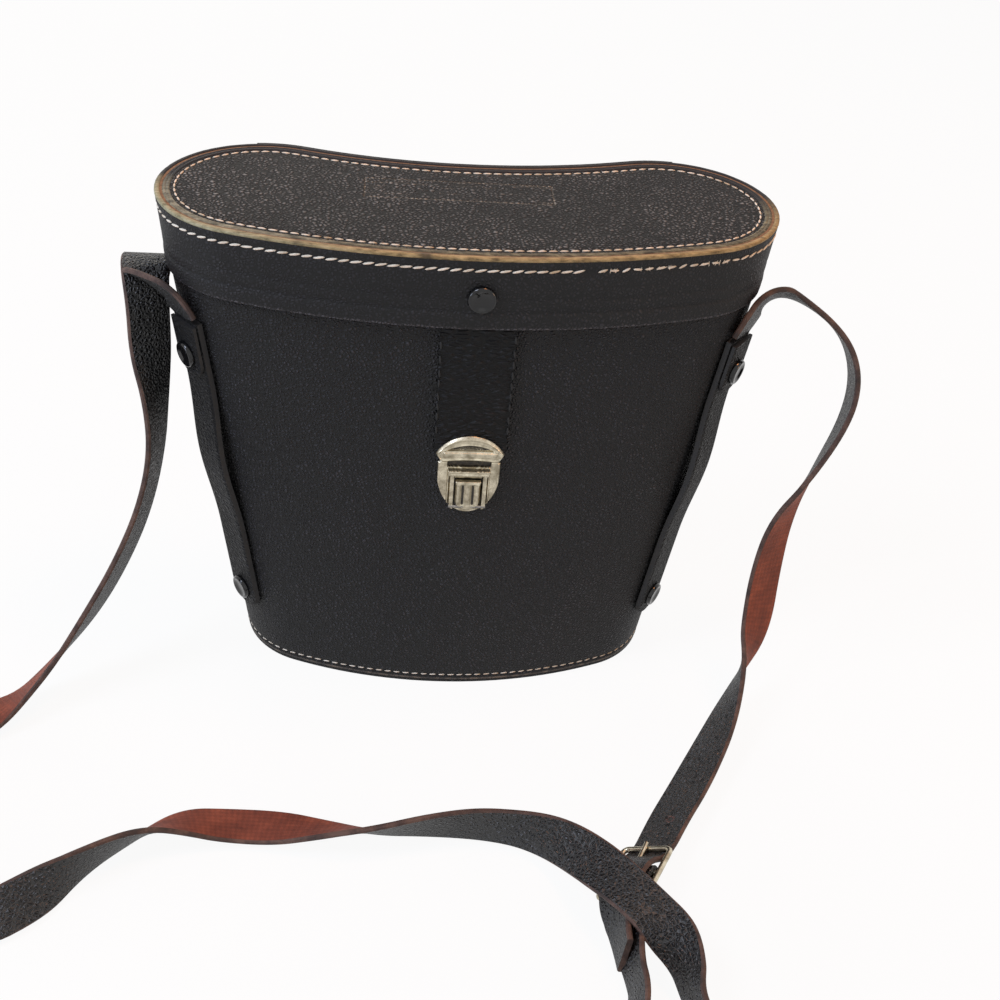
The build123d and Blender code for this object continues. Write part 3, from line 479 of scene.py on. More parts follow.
def pebbles(tree, place, size, stretch=(1, 1, 1)):
    # height of rounded cells with creases between, size in mm across
    squeezed = addNode(tree, "Mapping", {"Vector": place, "Scale": stretch}).outputs[0]
    drift = addNode(tree, "TexNoise", {"Vector": squeezed, "Scale": 0.45 / (size * mm), "Detail": 2.0})
    bent = addNode(
        tree, "VectorMath", {0: drift.outputs["Color"], 1: (size * mm * 0.9,) * 3, 2: squeezed},
        operation="MULTIPLY_ADD",
    )
    cells = addNode(
        tree, "TexVoronoi", {"Vector": bent.outputs[0], "Scale": 1 / (size * mm)},
        feature="DISTANCE_TO_EDGE",
    )
    domes = addNode(
        tree, "MapRange", {"Value": cells.outputs["Distance"], "From Min": 0.0, "From Max": 0.46},
        interpolation_type="SMOOTHSTEP",
    )
    return domes.outputs[0]


def leathercloth(name, look, stretch=(1, 1, 1), patch=None):
    material, tree, shader, place = startMaterial(name, **{"Specular IOR Level": look["shine"]})
    domes = pebbles(tree, place, look["grain"], stretch)
    fine = addNode(tree, "TexNoise", {"Vector": place, "Scale": 1 / (0.3 * mm), "Detail": 3.0})
    broad = addNode(
        tree, "TexNoise", {"Vector": place, "Scale": 1 / (26 * mm), "Detail": 3.0, "Roughness": 0.6}
    )
    scuffs = addNode(
        tree, "MapRange",
        {"Value": broad.outputs[0], "From Min": 0.42, "From Max": 0.66, "To Min": 0.4, "To Max": 1.0},
    )
    crests = addNode(tree, "MapRange", {"Value": domes, "From Min": look["crest"], "From Max": 0.9})
    # rubbing and a painted glint: the pebble crests take the paler worn colour
    wornGlintTops = addNode(tree, "Math", {0: crests.outputs[0], 1: scuffs.outputs[0]}, operation="MULTIPLY")
    rubbed = addNode(tree, "Math", {0: wornGlintTops.outputs[0], 1: look["wearAndGlint"]}, operation="MULTIPLY")
    colour = addNode(
        tree, "Mix", {0: rubbed.outputs[0], 6: linear(look["colour"]), 7: linear(look["worn"])},
        data_type="RGBA",
    )
    tone, height = colour.outputs[2], domes
    if patch:
        tone, height = patch(tree, place, tone, height)
    # painted shade: the creases between the pebbles are multiplied down to near black
    creased = addNode(tree, "MapRange", {"Value": domes, "From Max": 0.5, "To Min": 0.08, "To Max": 1.0})
    creaseShade = addNode(
        tree, "Mix", {0: 1.0, 6: tone, 7: creased.outputs[0]}, data_type="RGBA", blend_type="MULTIPLY"
    )
    tree.links.new(creaseShade.outputs[2], shader.inputs["Base Color"])
    gloss = addNode(
        tree, "MapRange",
        {"Value": wornGlintTops.outputs[0], "To Min": look["roughness"] + 0.16, "To Max": look["roughness"] - 0.04},
    )
    tree.links.new(gloss.outputs[0], shader.inputs["Roughness"])
    sag = addNode(tree, "Bump", {"Height": broad.outputs[0], "Strength": 0.55, "Distance": 1.6 * mm})
    grain = addNode(
        tree, "Bump",
        {"Height": height, "Strength": 1.0, "Distance": look["crease"] * mm, "Normal": sag.outputs[0]},
    )
    skin = addNode(
        tree, "Bump",
        {"Height": fine.outputs[0], "Strength": 0.35, "Distance": 0.05 * mm, "Normal": grain.outputs[0]},
    )
    tree.links.new(skin.outputs[0], shader.inputs["Normal"])
    return material


def rubbedPatch(tree, place, tone, height):
    # a plain pressed rectangle on the lid, its line partly rubbed pale
    centred = addNode(
        tree, "Mapping", {"Vector": place, "Location": (0.0042, -0.0085, 0), "Rotation": (0, 0, 0.012)}
    ).outputs[0]
    parts = addNode(tree, "SeparateXYZ", {0: centred})
    halfWidth, halfDepth = 32.2 * mm, 7.6 * mm
    outside = []
    for socket, half in zip(parts.outputs, (halfWidth, halfDepth)):
        away = addNode(tree, "Math", {0: socket}, operation="ABSOLUTE")
        past = addNode(tree, "Math", {0: away.outputs[0], 1: half}, operation="SUBTRACT")
        outside.append(past.outputs[0])
    edge = addNode(tree, "Math", {0: outside[0], 1: outside[1]}, operation="MAXIMUM")
    near = addNode(tree, "Math", {0: edge.outputs[0]}, operation="ABSOLUTE")
    line = addNode(
        tree, "MapRange",
        {
            "Value": near.outputs[0], "From Min": 0.15 * mm, "From Max": 0.55 * mm,
            "To Min": 1.0, "To Max": 0.0,
        },
        interpolation_type="SMOOTHSTEP",
    )
    inside = addNode(
        tree, "MapRange",
        {"Value": edge.outputs[0], "From Min": -0.4 * mm, "From Max": 0.0, "To Min": 1.0, "To Max": 0.0},
    )
    speck = addNode(
        tree, "TexNoise", {"Vector": place, "Scale": 1 / (1.6 * mm), "Detail": 4.0, "Roughness": 0.7}
    )
    torn = addNode(tree, "MapRange", {"Value": speck.outputs[0], "From Min": 0.34, "From Max": 0.55})
    rubbed = addNode(tree, "Math", {0: line.outputs[0], 1: torn.outputs[0]}, operation="MULTIPLY")
    drawn = addNode(tree, "Mapping", {"Vector": place, "Scale": (0.25, 1.6, 1)}).outputs[0]
    streak = addNode(tree, "TexNoise", {"Vector": drawn, "Scale": 1 / (2.2 * mm), "Detail": 4.0})
    streaks = addNode(
        tree, "MapRange", {"Value": streak.outputs[0], "From Min": 0.56, "From Max": 0.7, "To Max": 0.4}
    )
    scratched = addNode(tree, "Math", {0: inside.outputs[0], 1: streaks.outputs[0]}, operation="MULTIPLY")
    pale = addNode(tree, "Math", {0: rubbed.outputs[0], 1: scratched.outputs[0]}, operation="MAXIMUM")
    part = addNode(tree, "Math", {0: pale.outputs[0], 1: 0.9}, operation="MULTIPLY")
    toned = addNode(tree, "Mix", {0: part.outputs[0], 6: tone, 7: linear("#b3ab9c")}, data_type="RGBA")
    sunk = addNode(tree, "Math", {0: line.outputs[0], 1: 0.9}, operation="MULTIPLY")
    pressed = addNode(tree, "Math", {0: height, 1: sunk.outputs[0]}, operation="SUBTRACT")
    flat = addNode(tree, "Math", {0: inside.outputs[0], 1: 0.35}, operation="MULTIPLY")
    lower = addNode(tree, "Math", {0: pressed.outputs[0], 1: flat.outputs[0]}, operation="SUBTRACT")
    return toned.outputs[2], lower.outputs[0]


def punchedHole(tree, place, tone, height):
    # a spare hole for the prong, on the short strap, its rim rubbed brown; the opening itself is painted near black as
    # painted shade
    middle = (0.0757, -0.1122, 0.0062)
    away = addNode(tree, "VectorMath", {0: place, 1: middle}, operation="DISTANCE").outputs["Value"]
    ring = addNode(
        tree, "MapRange",
        {"Value": away, "From Min": 1.3 * mm, "From Max": 2.3 * mm, "To Min": 0.7, "To Max": 0.0},
    )
    shadedHole = addNode(
        tree, "MapRange",
        {"Value": away, "From Min": 1.0 * mm, "From Max": 1.3 * mm, "To Min": 1.0, "To Max": 0.0},
    )
    rimmed = addNode(tree, "Mix", {0: ring.outputs[0], 6: tone, 7: linear("#7a4c40")}, data_type="RGBA")
    # painted shade: the opening is mixed to near black
    toned = addNode(
        tree, "Mix", {0: shadedHole.outputs[0], 6: rimmed.outputs[2], 7: linear("#050505")}, data_type="RGBA"
    )
    sunk = addNode(tree, "Math", {0: shadedHole.outputs[0], 1: -2.0, 2: height}, operation="MULTIPLY_ADD")
    return toned.outputs[2], sunk.outputs[0]


def paintedHemHighlight(tree, place, tone, height):
    # painted highlight: the skirt's lower edge is painted a little pale
    rise = addNode(tree, "SeparateXYZ", {0: place}).outputs["Z"]
    near = addNode(
        tree, "MapRange",
        {"Value": rise, "From Min": 160.5 * mm, "From Max": 161.2 * mm, "To Min": 0.5, "To Max": 0.0},
    )
    toned = addNode(tree, "Mix", {0: near.outputs[0], 6: tone, 7: linear("#77777d")}, data_type="RGBA")
    return toned.outputs[2], height


bodyCloth = leathercloth("leathercloth fine pebble", bodyGrain)
skirtGrain = dict(bodyGrain, crease=0.22, wearAndGlint=0.2)
# the skirt's cloth carries a painted highlight along its lower edge
skirtCloth = leathercloth("leathercloth fine pebble, painted hem highlight", skirtGrain, patch=paintedHemHighlight)
lidCloth = leathercloth("leathercloth coarse pebble", lidGrain, patch=rubbedPatch)
tabHide = leathercloth("creased black cowhide", softGrain, stretch=(0.55, 1, 1.5))
strapHide = leathercloth("pebbled strap leather", strapGrain, patch=punchedHole)


def roughLayers(name, colours, size, roughness, depth):
    # raw, fibrous stuff: three colours in patches, with a rough bump
    material, tree, shader, place = startMaterial(name, Roughness=roughness)
    patches = addNode(
        tree, "TexNoise", {"Vector": place, "Scale": 1 / (size * mm), "Detail": 5.0, "Roughness": 0.68}
    )
    ramp = addNode(tree, "ValToRGB", {"Fac": patches.outputs[0]})
    fillRamp(ramp, (0.36, colours[0]), (0.62, colours[2]), (0.47, colours[1]))
    tree.links.new(ramp.outputs[0], shader.inputs["Base Color"])
    fibres = addNode(
        tree, "TexNoise", {"Vector": place, "Scale": 1 / (0.28 * mm), "Detail": 4.0, "Roughness": 0.7}
    )
    rough = addNode(tree, "Bump", {"Height": fibres.outputs[0], "Strength": 0.8, "Distance": depth * mm})
    tree.links.new(rough.outputs[0], shader.inputs["Normal"])
    return material


# Cut edges: paint gone in patches, tan board and cloth showing
weltEdge = roughLayers("scuffed base edge", ("#1b1a1b", "#3b3632", "#6b6155"), 2.8, 0.7, 0.1)
strapEdge = roughLayers("dyed strap edge", ("#2c211d", "#40302a", "#5e4a40"), 7.0, 0.75, 0.06)
stripEdge = roughLayers("black dyed edge", ("#09090a", "#100f11", "#1a1715"), 5.0, 0.6, 0.06)
greyboard = roughLayers("pressed brown fibreboard", ("#5e4733", "#7a5d42", "#8e6f52"), 1.6, 0.85, 0.15)
flock = roughLayers("maroon flock paper", ("#2d1013", "#3c171a", "#4a2022"), 0.9, 0.95, 0.1)
plainSteel = roughLayers("pressed mild steel", ("#6b6866", "#837f7b", "#96918c"), 3.0, 0.42, 0.02)
plainSteel.node_tree.nodes["Principled BSDF"].inputs["Metallic"].default_value = 1.0


def rubbedRim(name, gold, pale, depth):
    # paint rubbed off along the front, paler to the left; black at the back
    material, tree, shader, place = startMaterial(name, **{"Roughness": 0.66, "Specular IOR Level": 0.3})
    parts = addNode(tree, "SeparateXYZ", {0: place})
    drawn = addNode(tree, "Mapping", {"Vector": place, "Scale": (0.35, 1, 1)}).outputs[0]
    grime = addNode(
        tree, "TexNoise", {"Vector": drawn, "Scale": 1 / (1.5 * mm), "Detail": 6.0, "Roughness": 0.72}
    )
    shades = []
    for colours in (gold, pale):
        ramp = addNode(tree, "ValToRGB", {"Fac": grime.outputs[0]})
        fillRamp(ramp, (0.3, colours[0]), (0.64, colours[2]), (0.45, colours[1]))
        shades.append(ramp.outputs[0])
    left = addNode(
        tree, "MapRange",
        {"Value": parts.outputs["X"], "From Min": -0.085, "From Max": -0.03, "To Min": 1.0, "To Max": 0.0},
    )
    bare = addNode(tree, "Mix", {0: left.outputs[0], 6: shades[0], 7: shades[1]}, data_type="RGBA")
    broad = addNode(tree, "TexNoise", {"Vector": place, "Scale": 1 / (17 * mm), "Detail": 3.0})
    shifted = addNode(
        tree, "Math", {0: broad.outputs[0], 1: 0.03, 2: parts.outputs["Y"]}, operation="MULTIPLY_ADD"
    )
    worn = addNode(
        tree, "MapRange",
        {"Value": shifted.outputs[0], "From Min": 0.012, "From Max": 0.03, "To Min": 1.0, "To Max": 0.0},
    )
    spots = addNode(
        tree, "MapRange",
        {"Value": broad.outputs[0], "From Min": 0.62, "From Max": 0.68, "To Min": 1.0, "To Max": 0.25},
    )
    share = addNode(tree, "Math", {0: worn.outputs[0], 1: spots.outputs[0]}, operation="MULTIPLY")
    tone = addNode(
        tree, "Mix", {0: share.outputs[0], 6: linear("#121114"), 7: bare.outputs[2]}, data_type="RGBA"
    )
    tree.links.new(tone.outputs[2], shader.inputs["Base Color"])
    fibres = addNode(
        tree, "TexNoise", {"Vector": drawn, "Scale": 1 / (0.3 * mm), "Detail": 4.0, "Roughness": 0.7}
    )
    rough = addNode(tree, "Bump", {"Height": fibres.outputs[0], "Strength": 0.8, "Distance": depth * mm})
    tree.links.new(rough.outputs[0], shader.inputs["Normal"])
    return material


rimEdge = rubbedRim(
    "rubbed board edge", ("#43392a", "#8b7a54", "#bba679"), ("#55533c", "#8d8a6c", "#b5b292"), 0.12
)
flangeEdge = rubbedRim(
    "half rubbed leathercloth edge", ("#1a1a18", "#4c4a3c", "#8a866c"),
    ("#33332c", "#6d6d5c", "#9c9c88"), 0.1,
)


def threadMaterial(name, colour, soil, roughness):
    # waxed cotton thread, two strands that turn about each other
    material, tree, shader, place = startMaterial(name, Roughness=roughness)
    soiled = addNode(tree, "TexNoise", {"Vector": place, "Scale": 1 / (7 * mm), "Detail": 3.0})
    amount = addNode(tree, "MapRange", {"Value": soiled.outputs[0], "From Min": 0.48, "From Max": 0.75})
    tone = addNode(
        tree, "Mix", {0: amount.outputs[0], 6: linear(colour), 7: linear(soil)}, data_type="RGBA"
    )
    tree.links.new(tone.outputs[2], shader.inputs["Base Color"])
    strands = addNode(
        tree, "TexWave", {"Vector": place, "Scale": 1 / (3.2 * mm), "Distortion": 1.5},
        bands_direction="DIAGONAL",
    )
    twist = addNode(
        tree, "Bump", {"Height": strands.outputs["Fac"], "Strength": 0.7, "Distance": 0.08 * mm}
    )
    tree.links.new(twist.outputs[0], shader.inputs["Normal"])
    return material


whiteThread = threadMaterial("off-white waxed cotton thread", "#ece3d0", "#b39c78", 0.75)
blackThread = threadMaterial("black waxed thread", "#040405", "#121113", 0.7)
# painted shade for the pressed recesses: slot, window, lens scoop and flute valleys go brown-black
recessShade = roughLayers("painted recess shade", ("#14110d", "#2b261e", "#4a4436"), 1.2, 0.5, 0.03)


def fleshSide(name):
    # strap's back: red-brown split leather with a rolled linen mark
    material, tree, shader, place = startMaterial(name, Roughness=0.78)
    mottle = addNode(
        tree, "TexNoise", {"Vector": place, "Scale": 1 / (9 * mm), "Detail": 4.0, "Roughness": 0.6}
    )
    ramp = addNode(tree, "ValToRGB", {"Fac": mottle.outputs[0]})
    fillRamp(ramp, (0.3, "#5c2c1f"), (0.72, "#93503a"), (0.52, "#793e2c"))
    along = addNode(tree, "Attribute", attribute_name="along").outputs["Fac"]
    across = addNode(tree, "Attribute", attribute_name="across").outputs["Fac"]
    sheet = addNode(tree, "Math", {0: across, 1: strapLook["width"] / 2 * mm}, operation="MULTIPLY")
    flat = addNode(tree, "CombineXYZ", {0: along, 1: sheet.outputs[0]})
    turned = addNode(tree, "Mapping", {"Vector": flat.outputs[0], "Rotation": (0, 0, 0.785)})
    # linen mark on the bias, 1.3 mm, twice the real one so that it shows
    weave = addNode(tree, "TexChecker", {"Vector": turned.outputs[0], "Scale": 1 / (1.3 * mm)})
    nap = addNode(tree, "TexNoise", {"Vector": place, "Scale": 1 / (0.35 * mm), "Detail": 3.0})
    mixed = addNode(tree, "Math", {0: weave.outputs["Fac"], 1: nap.outputs[0]}, operation="ADD")
    shade = addNode(
        tree, "MapRange", {"Value": mixed.outputs[0], "From Max": 2.0, "To Min": 0.72, "To Max": 1.12}
    )
    tone = addNode(
        tree, "Mix", {0: 1.0, 6: ramp.outputs[0], 7: shade.outputs[0]},
        data_type="RGBA", blend_type="MULTIPLY",
    )
    tree.links.new(tone.outputs[2], shader.inputs["Base Color"])
    rough = addNode(tree, "Bump", {"Height": mixed.outputs[0], "Strength": 0.6, "Distance": 0.12 * mm})
    tree.links.new(rough.outputs[0], shader.inputs["Normal"])
    return material


strapFlesh = fleshSide("red-brown split leather")


def nickelPlate(name):
    # nickel on pressed brass, warm grey, pitted and dulled in patches
    material, tree, shader, place = startMaterial(name, Metallic=1.0)
    dulled = addNode(
        tree, "TexNoise", {"Vector": place, "Scale": 1 / (3.4 * mm), "Detail": 5.0, "Roughness": 0.65}
    )
    ramp = addNode(tree, "ValToRGB", {"Fac": dulled.outputs[0]})
    fillRamp(ramp, (0.34, "#8f8672"), (0.62, "#cfc6b0"))
    tree.links.new(ramp.outputs[0], shader.inputs["Base Color"])
    gloss = addNode(
        tree, "MapRange",
        {"Value": dulled.outputs[0], "From Min": 0.3, "From Max": 0.7, "To Min": 0.42, "To Max": 0.24},
    )
    tree.links.new(gloss.outputs[0], shader.inputs["Roughness"])
    pits = addNode(tree, "TexVoronoi", {"Vector": place, "Scale": 1 / (0.8 * mm)})
    pitted = addNode(
        tree, "MapRange", {"Value": pits.outputs["Distance"], "From Min": 0.05, "From Max": 0.3}
    )
    bump = addNode(tree, "Bump", {"Height": pitted.outputs[0], "Strength": 0.25, "Distance": 0.06 * mm})
    tree.links.new(bump.outputs[0], shader.inputs["Normal"])
    return material


nickel = nickelPlate("worn nickel plate")


def blackEnamel(name):
    # stoved black enamel on a pressed cap, fine scratches
    material, tree, shader, place = startMaterial(
        name, **{"Coat Weight": 0.3, "Coat Roughness": 0.04, "Specular IOR Level": 0.3}
    )
    specks = addNode(tree, "TexNoise", {"Vector": place, "Scale": 1 / (2.5 * mm), "Detail": 4.0})
    chips = addNode(tree, "MapRange", {"Value": specks.outputs[0], "From Min": 0.68, "From Max": 0.74})
    tone = addNode(
        tree, "Mix", {0: chips.outputs[0], 6: linear("#08080a"), 7: linear("#4a453f")}, data_type="RGBA"
    )
    tree.links.new(tone.outputs[2], shader.inputs["Base Color"])
    gloss = addNode(tree, "MapRange", {"Value": specks.outputs[0], "To Min": 0.06, "To Max": 0.24})
    tree.links.new(gloss.outputs[0], shader.inputs["Roughness"])
    return material


enamel = blackEnamel("black stoved enamel")
print("finishes made")

longStrap, longLine = strapMesh("longStrap", longRoute, strapLook, [strapHide, strapFlesh, strapEdge])
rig.replaces(longStrap, "long_strap")
shortStrap, shortLine = strapMesh("shortStrap", shortRoute, strapLook, [strapHide, strapFlesh, strapEdge])
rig.replaces(shortStrap, "short_strap")


def lineLength(line):
    return sum((b - a).length for a, b in zip(line, line[1:]))


buckleParts = [frame["nodes"][name] for name in ("buckle_frame", "buckle_chape", "buckle_prong")]
strapFacts = {"diameter": strapLook["width"] * mm, "stiffness": "stiff", "lay": "loose"}
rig.cord(
    longStrap, exit=longLine[0], length=lineLength(longLine), far_end="fitting", path=longLine,
    with_pieces=buckleParts, **strapFacts,
)
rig.cord(
    shortStrap, exit=shortLine[0], length=lineLength(shortLine), far_end="object", path=shortLine,
    **strapFacts,
)
print("straps laid, mm:", round(lineLength(longLine) / mm), round(lineLength(shortLine) / mm))


# the case's forms, mm: kidney outlines and how they stand on each other
outlines = {
    "base": (160.0, 72.0, 31.3, 7.8),       # width, depth, end radius, hollow of the back
    "mouth": (204.6, 78.0, 34.0, 10.4),
    "skirt": (207.0, 82.8, 35.8, 10.8),
    "rim": (212.0, 84.0, 36.5, 11.0),
}
levels = {"mouth": 160, "rim": 186}         # heights above the floor, the skirt starts at the mouth
arcSteps = {"front": 44, "end": 34, "back": 40}


def kidney(line, grow=0.0):
    # points round the outline and the way out at each, four tangent arcs
    width, depth, radius, hollow = line
    width, depth, radius = width + 2 * grow, depth + 2 * grow, radius + grow
    endX, endY = width / 2 - radius, depth / 2 - radius
    backY = depth / 2 - hollow
    front, back = endY + depth / 2, endY - backY
    frontR = (endX ** 2 + front ** 2 - radius ** 2) / (2 * (front - radius))
    backR = (endX ** 2 + back ** 2 - radius ** 2) / (2 * (radius + back))
    frontC, backC = Vector((0, frontR - depth / 2)), Vector((0, backY + backR))
    endC = Vector((endX, endY))
    lowAngle = math.atan2(*reversed(endC - frontC))
    highAngle = math.atan2(*reversed(backC - endC))
    arcs = [
        (frontC, frontR, -math.pi - lowAngle, lowAngle, arcSteps["front"], 1),
        (endC, radius, lowAngle, highAngle, arcSteps["end"], 1),
        (backC, backR, highAngle - math.pi, -highAngle, arcSteps["back"], -1),
        (Vector((-endX, endY)), radius, math.pi - highAngle, math.pi - lowAngle, arcSteps["end"], 1),
    ]
    points = []
    for centre, size, first, last, steps, out in arcs:
        for step in range(steps):
            angle = first + (last - first) * step / steps
            way = Vector((math.cos(angle), math.sin(angle)))
            points.append((centre + way * size, way * out))
    return points


class Form:
    # a tapering kidney between two outlines
    def __init__(self, low, lowZ, high, highZ):
        self.low, self.lowZ, self.high, self.highZ = outlines[low], lowZ, outlines[high], highZ

    def ring(self, z, grow=0.0):
        t = (z - self.lowZ) / (self.highZ - self.lowZ)
        ring = []
        for (low, lowWay), (high, highWay) in zip(kidney(self.low, grow), kidney(self.high, grow)):
            place = low.lerp(high, t).to_3d() + Vector((0, 0, z))
            ring.append((place, lowWay.lerp(highWay, t).normalized().to_3d()))
        return ring

    def wall(self, x, z, grow, front=True):
        # the point of the front or back wall at x
        places = [place for place, _ in self.ring(z, grow)]
        best, upright = None, 1e-9
        for a, b in zip(places, places[1:] + places[:1]):
            if (a.x - x) * (b.x - x) <= 0 and abs(a.x - b.x) > upright:
                y = a.y + (b.y - a.y) * (x - a.x) / (b.x - a.x)
                if best is None or (y < best if front else y > best):
                    best = y
        return Vector((x, best, z))


body = Form("base", 0, "mouth", levels["mouth"])
lid = Form("skirt", levels["mouth"], "rim", levels["rim"])


def kidneyRing(form, profile, closed=True):
    # a profile of (grow, z) carried round the outline, ring by ring; an open one is capped
    bm = bmesh.new()
    step = bm.verts.layers.int.new("step")
    first = form.ring(profile[0][1], profile[0][0])
    loop = bmesh.ops.create_circle(bm, segments=len(first), radius=1)["verts"]
    for i, vertex in enumerate(loop):
        vertex[step], vertex.co = i, first[i][0] * mm
    start = ring = bm.edges[:]
    for grow, z in profile[1:]:
        loop, ring = extrudeRing(bm, ring)
        places = form.ring(z, grow)
        for vertex in loop:
            vertex.co = places[vertex[step]][0] * mm
    if closed:
        bmesh.ops.bridge_loops(bm, edges=start + ring)
    else:
        for end in (start, ring):
            bmesh.ops.edgeloop_fill(bm, edges=end)
    return bm


def setMaterials(bm, choose):
    for face in bm.faces:
        face.material_index = choose(face.calc_center_median() / mm, face.normal)


# body wall
bodyLook = {"seamZ": 3.6, "seamPull": 0.3, "lip": 0.35, "rawEdgeZ": 1.9}


def makeBody(look):
    pull, seam = look["seamPull"], look["seamZ"]
    outer = [(-0.9, 1.05), (-0.2, 1.0), (0.1, 1.3), (0.1, 2.2), (-0.05, 2.9), (-pull, seam)]
    outer += [(-0.05, seam + 0.9), (0.04, seam + 2)]
    outer += [(0.0, z) for z in (8, 14, 24, 36, 50, 66, 82, 98, 112, 124, 136, 146, 154, 158.4)]
    outer += [(-0.1, 159.3), (-look["lip"], 159.7), (-0.9, 159.65)]
    inner = [(-0.97, z) for z in (150, 100, 50, 8)]
    bm = kidneyRing(body, outer + inner)
    bmesh.ops.recalc_face_normals(bm, faces=bm.faces)
    setMaterials(bm, lambda spot, normal: 1 if spot.z < look["rawEdgeZ"] else 0)
    piece = finishPiece("bodyWall", bm, [bodyCloth, weltEdge], "case")
    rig.replaces(piece, "body_cover")
    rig.slot(piece, "leatherette")


makeBody(bodyLook)
print("body wall made")

# lid: skirt, rubbed rim, upturned flange, top panel
lidLook = {
    "hem": 0.32,          # how far the turned hem stands out
    "hemZ": 166.4,
    "ridgeZ": 171.6,
    "seamZ": 181.4,
    "seamPull": 0.32,
    "rimWidth": 1.75,
    "rubbedZ": 185.3,     # the flange is rubbed above this
    "panelZ": 185.5,
    "panelSeamIn": 6.45,
}


def makeLid(look):
    hem, seam, crease, ridge = look["hem"], look["seamZ"], look["hemZ"], look["ridgeZ"]
    skirt = [(-0.85, 160.5), (-0.6, 160.08), (-0.15, 160.0), (hem - 0.05, 160.5), (hem, 161.6)]
    skirt += [(hem, 164.6), (hem * 0.6, 165.8), (-0.22, crease), (0.02, crease + 0.8), (0.05, crease + 2.4)]
    skirt += [(0.02, ridge - 1), (-0.24, ridge), (0.02, ridge + 1), (0.0, 174.6), (0.0, 177.6)]
    skirt += [(0.04, 179.6), (-0.1, seam - 0.7), (-look["seamPull"], seam), (-0.1, seam + 0.7)]
    skirt += [(0.08, seam + 1.6), (0.08, 184.2), (0.0, 185.1), (-0.4, 185.35), (-0.85, 185.2)]
    skirt += [(-0.87, 176), (-0.87, 166)]
    bm = kidneyRing(lid, skirt)
    bmesh.ops.recalc_face_normals(bm, faces=bm.faces)
    piece = finishPiece("lidSkirt", bm, skirtCloth, "lid")
    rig.replaces(piece, "lid_skirt_cover")
    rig.slot(piece, "leatherette")

    wide = look["rimWidth"]
    bead = [(0.02, 184.75), (0.14, 185.2), (0.05, 185.7), (-0.35, 185.98), (-0.8, 186.0)]
    bead += [(-wide + 0.3, 185.95), (-wide, 185.4), (-wide + 0.1, 185.1), (-1.2, 185.0)]
    bm = kidneyRing(lid, bead)
    for vertex in bm.verts:
        vertex.co.z += dice.uniform(-0.06, 0.02) * mm
    bmesh.ops.recalc_face_normals(bm, faces=bm.faces)
    piece = finishPiece("lidRimEdge", bm, rimEdge, "lid")
    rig.slot(piece, "fibreboard")

    flange = [(-1.87, 184.1), (-1.87, 185.35), (-2.0, 185.5), (-2.5, 185.5), (-2.75, 185.8)]
    flange += [(-3.1, 185.93), (-3.6, 185.9), (-3.75, 185.65), (-3.9, 185.85), (-4.5, 185.8)]
    flange += [(-4.9, 185.6), (-5.0, 185.3), (-4.9, 183.9), (-1.95, 183.9)]
    bm = kidneyRing(lid, flange)
    bmesh.ops.recalc_face_normals(bm, faces=bm.faces)
    setMaterials(bm, lambda spot, normal: 1 if spot.z > look["rubbedZ"] else 0)
    piece = finishPiece("lidFlange", bm, [lidCloth, flangeEdge], "lid")
    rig.replaces(piece, "lid_rim_flange")
    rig.slot(piece, "leatherette")

    level, seamIn = look["panelZ"], look["panelSeamIn"]
    panel = [(-4.7, 183.35), (-4.7, level - 0.15), (-5.2, level), (-seamIn + 0.7, level + 0.02)]
    panel += [(-seamIn, level - 0.18), (-seamIn - 0.8, level + 0.04)]
    panel += [(-9, level + 0.14), (-12, level + 0.16)]
    bm = kidneyRing(lid, panel, closed=False)
    bmesh.ops.recalc_face_normals(bm, faces=bm.faces)
    piece = finishPiece("lidTopPanel", bm, lidCloth, "lid", angle=50)
    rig.replaces(piece, "lid_top_cover")
    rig.slot(piece, "leatherette")


makeLid(lidLook)
print("lid made")

# stitches
stitchLooks = {
    # mm and degrees; sink is how deep the thread is pulled in
    "top": {"pitch": 3.6, "length": 3.05, "thick": 0.72, "slant": 2, "jitter": 3, "sink": 0.05},
    "skirt": {"pitch": 3.95, "length": 4.1, "thick": 0.85, "slant": 11, "jitter": 5, "sink": 0.1},
    "base": {"pitch": 3.5, "length": 2.7, "thick": 0.6, "slant": 4, "jitter": 3, "sink": 0.1},
    "black": {"pitch": 3.6, "length": 2.6, "thick": 0.6, "slant": 4, "jitter": 6, "sink": 0.1},
}
# where the skirt's row is frayed at the front, where its thread is gone, and where the hinge covers it
skirtWear = {"frayed": (33, 88), "goneTo": 38, "shortened": 3.2, "hingeHalf": 75.3}


def addStitch(bm, spot, way, out, look, slant=None, length=None):
    # one stitch: a long bead lying on the leather, its ends drawn in
    turn = math.radians((look["slant"] if slant is None else slant) + dice.uniform(-1, 1) * look["jitter"])
    along = Matrix.Rotation(turn, 3, out) @ way
    beside = out.cross(along)
    size = (length or look["length"]) / 2 * dice.uniform(0.93, 1.05)
    axes = (along * size, beside * look["thick"] / 2, out * look["thick"] * 0.42)
    shape = Matrix(axes).transposed().to_4x4()
    centre = Matrix.Translation((spot + out * (look["thick"] * 0.25 - look["sink"])) * mm)
    bmesh.ops.create_uvsphere(bm, u_segments=8, v_segments=6, radius=mm, matrix=centre @ shape)


def stitchRound(ring, look, skip=None):
    # evenly along a closed ring of (place, way out)
    places = [place for place, _ in ring]
    gaps = [(b - a).length for a, b in zip(places, places[1:] + places[:1])]
    total = sum(gaps)
    count = round(total / look["pitch"])
    mark, i = 0.0, 0
    for number in range(count):
        goal = total * number / count
        while mark + gaps[i] < goal:
            mark += gaps[i]
            i += 1
        t = (goal - mark) / gaps[i]
        j = (i + 1) % len(ring)
        spot = places[i].lerp(places[j], t)
        out = ring[i][1].lerp(ring[j][1], t).normalized()
        way = (places[j] - places[i]).normalized()
        if skip and skip(spot):
            continue
        yield spot, way, out


